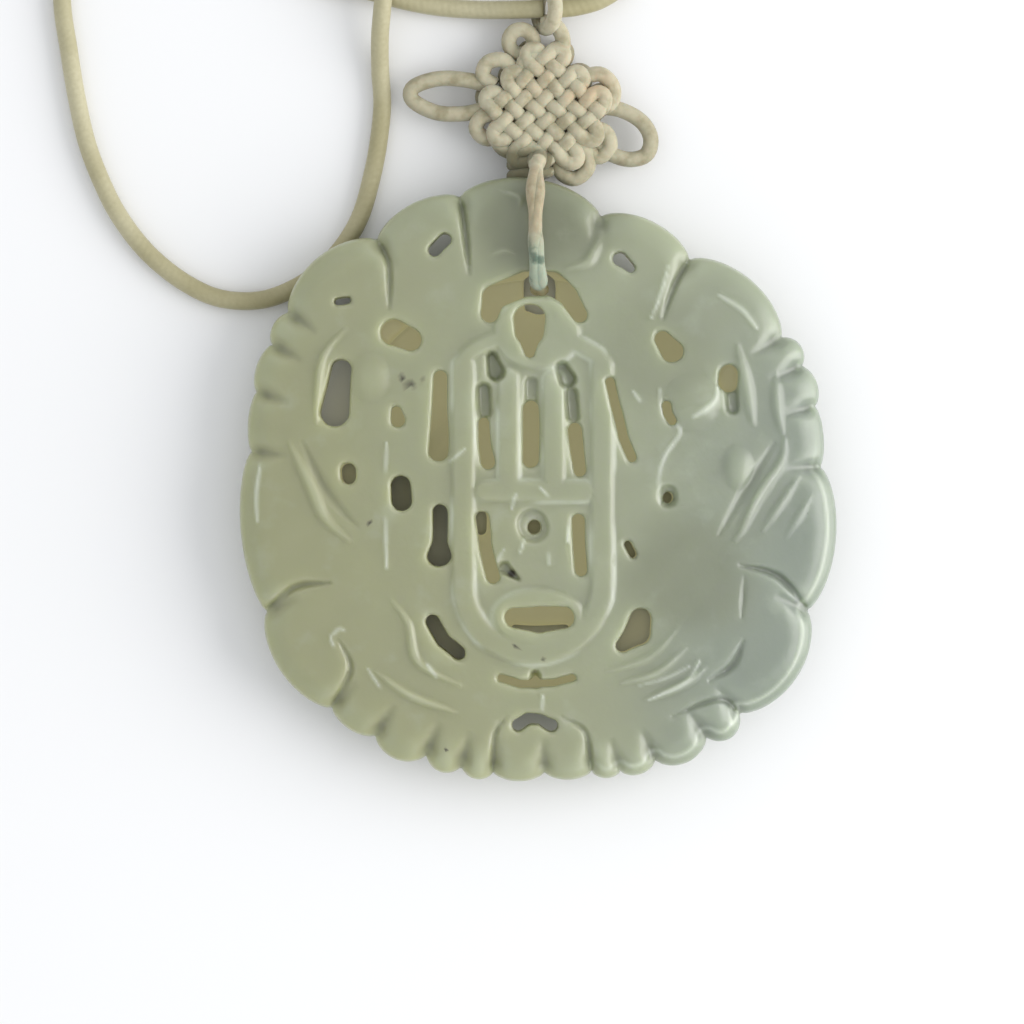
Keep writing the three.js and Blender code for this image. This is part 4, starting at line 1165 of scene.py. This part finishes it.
def build_floor():
    """A plain pale surface under everything."""
    finish = Finish("surface", Roughness=0.9)
    tint = finish.noise(finish.place()[3], 0.3, 2.0)
    finish.feed(Base_Color=finish.mix(tint, (0.86, 0.86, 0.86, 1), (0.88, 0.88, 0.88, 1)))
    half = FLOOR_HALF
    corners = [(-half, -half, 0), (half, -half, 0), (half, half, 0), (-half, half, 0)]
    floor = new_piece("floor", corners, [[0, 1, 2, 3]], finish.material)


def build_light(name, location, size, power, tone, target):
    data = bpy.data.lights.new(name, "AREA")
    data.shape = "DISK"
    data.size = size
    data.energy = power
    data.color = tone
    light = bpy.data.objects.new(name, data)
    light.location = location
    aim(light, target)
    bpy.context.scene.collection.objects.link(light)


def build_lights(settings):
    centre = layout_offset()
    build_light("window", centre + WINDOW_PLACE, WINDOW_SIZE, settings.key_power, WINDOW_TONE, centre)
    world = bpy.data.worlds.new("studio")
    world.use_nodes = True
    background = world.node_tree.nodes["Background"]
    background.inputs["Color"].default_value = ROOM_TONE
    background.inputs["Strength"].default_value = settings.fill
    bpy.context.scene.world = world
    bpy.context.scene.view_settings.view_transform = "Standard"


# ---- settings ------------------------------------------------------------------------


class JadeSettings(bpy.types.PropertyGroup):
    stone: bpy.props.FloatVectorProperty(
        name="Stone", description="Main colour of the jade", subtype="COLOR", size=4,
        default=JADE_GREEN, min=0, max=1)
    glow: bpy.props.FloatProperty(
        name="Glow", description="How much light passes through the stone", subtype="FACTOR",
        default=1.0, min=0, max=1)


class KnotSettings(bpy.types.PropertyGroup):
    diameter: bpy.props.FloatProperty(
        name="Cord", description="Thickness of the knot's cord in millimetres", default=KNOT_CORD,
        min=0.8, max=2.5)
    cord: bpy.props.FloatVectorProperty(
        name="Colour", description="Colour of the knot's cord", subtype="COLOR", size=4,
        default=CORD_CREAM, min=0, max=1)


class NeckCordSettings(bpy.types.PropertyGroup):
    diameter: bpy.props.FloatProperty(
        name="Cord", description="Thickness of the neck cord in millimetres", default=CORD_D,
        min=1.0, max=3.0)
    cord: bpy.props.FloatVectorProperty(
        name="Colour", description="Colour of the neck cord", subtype="COLOR", size=4,
        default=SATIN_OLIVE, min=0, max=1)


class StageSettings(bpy.types.PropertyGroup):
    distance: bpy.props.FloatProperty(
        name="Camera height", description="From the carving's face to the camera", unit="LENGTH",
        default=0.9, min=0.1, max=2)
    view_width: bpy.props.FloatProperty(
        name="View width", description="Width of the view at the carving's face", unit="LENGTH",
        default=0.0995, min=0.02, max=1)
    key_power: bpy.props.FloatProperty(
        name="Window light", description="Power of the large light at the upper right", unit="POWER",
        default=5.8, min=0, max=200)
    fill: bpy.props.FloatProperty(
        name="Fill", description="Brightness of the room", default=0.86, min=0, max=5)


# ---- operators -----------------------------------------------------------------------


class PENDANT_OT_camera(bpy.types.Operator):
    """Add the camera above the pendant"""
    bl_idname = "pendant.camera"
    bl_label = "Add camera"

    def execute(self, context):
        build_camera(context.scene.pendant_stage)
        return {"FINISHED"}


class PENDANT_OT_neck_cord(bpy.types.Operator):
    """Lay out the satin neck cord"""
    bl_idname = "pendant.neck_cord"
    bl_label = "Add neck cord"

    def execute(self, context):
        settings = context.scene.pendant_neck_cord
        cord, line, length = build_neck_cord(settings)
        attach(cord, BODY)
        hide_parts("neck_cord_run", "neck_cord_coil", "neck_cord_return")
        print(f"neck cord {length * 1000:.0f} mm")
        return {"FINISHED"}


class PENDANT_OT_jade(bpy.types.Operator):
    """Carve the jade"""
    bl_idname = "pendant.jade"
    bl_label = "Add jade"

    def execute(self, context):
        jade = build_jade(context.scene.pendant_jade)
        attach(jade, BODY)
        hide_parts("jade_pendant")
        return {"FINISHED"}


class PENDANT_OT_knot(bpy.types.Operator):
    """Tie the woven knot and its strand"""
    bl_idname = "pendant.knot"
    bl_label = "Add knot"

    def execute(self, context):
        knot = build_knot(context.scene.pendant_knot)
        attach(knot, BODY)
        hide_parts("knot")
        return {"FINISHED"}


class PENDANT_OT_stage(bpy.types.Operator):
    """Add the pale surface and the soft light"""
    bl_idname = "pendant.stage"
    bl_label = "Add stage"

    def execute(self, context):
        build_floor()
        build_lights(context.scene.pendant_stage)
        return {"FINISHED"}


class PENDANT_PT_panel(bpy.types.Panel):
    bl_idname = "PENDANT_PT_panel"
    bl_label = "Jade pendant"
    bl_space_type = "VIEW_3D"
    bl_region_type = "UI"
    bl_category = "Pendant"

    def draw(self, context):
        layout = self.layout
        for group in (context.scene.pendant_jade, context.scene.pendant_knot,
                      context.scene.pendant_neck_cord, context.scene.pendant_stage):
            box = layout.box()
            for key in group.__annotations__:
                box.prop(group, key)
        for step in STEPS:
            layout.operator(step.bl_idname)


STEPS = (PENDANT_OT_camera, PENDANT_OT_neck_cord, PENDANT_OT_jade, PENDANT_OT_knot, PENDANT_OT_stage)
GROUPS = {"pendant_jade": JadeSettings, "pendant_knot": KnotSettings,
          "pendant_neck_cord": NeckCordSettings, "pendant_stage": StageSettings}


def register():
    for item in (*GROUPS.values(), *STEPS, PENDANT_PT_panel):
        bpy.utils.register_class(item)
    for key, group in GROUPS.items():
        setattr(bpy.types.Scene, key, bpy.props.PointerProperty(type=group))


def unregister():
    for key in GROUPS:
        delattr(bpy.types.Scene, key)
    for item in reversed((*GROUPS.values(), *STEPS, PENDANT_PT_panel)):
        bpy.utils.unregister_class(item)


def main():
    register()
    bpy.ops.pendant.camera()
    bpy.ops.pendant.neck_cord()
    bpy.ops.pendant.jade()
    bpy.ops.pendant.knot()
    bpy.ops.pendant.stage()


if __name__ == "__main__":
    main()
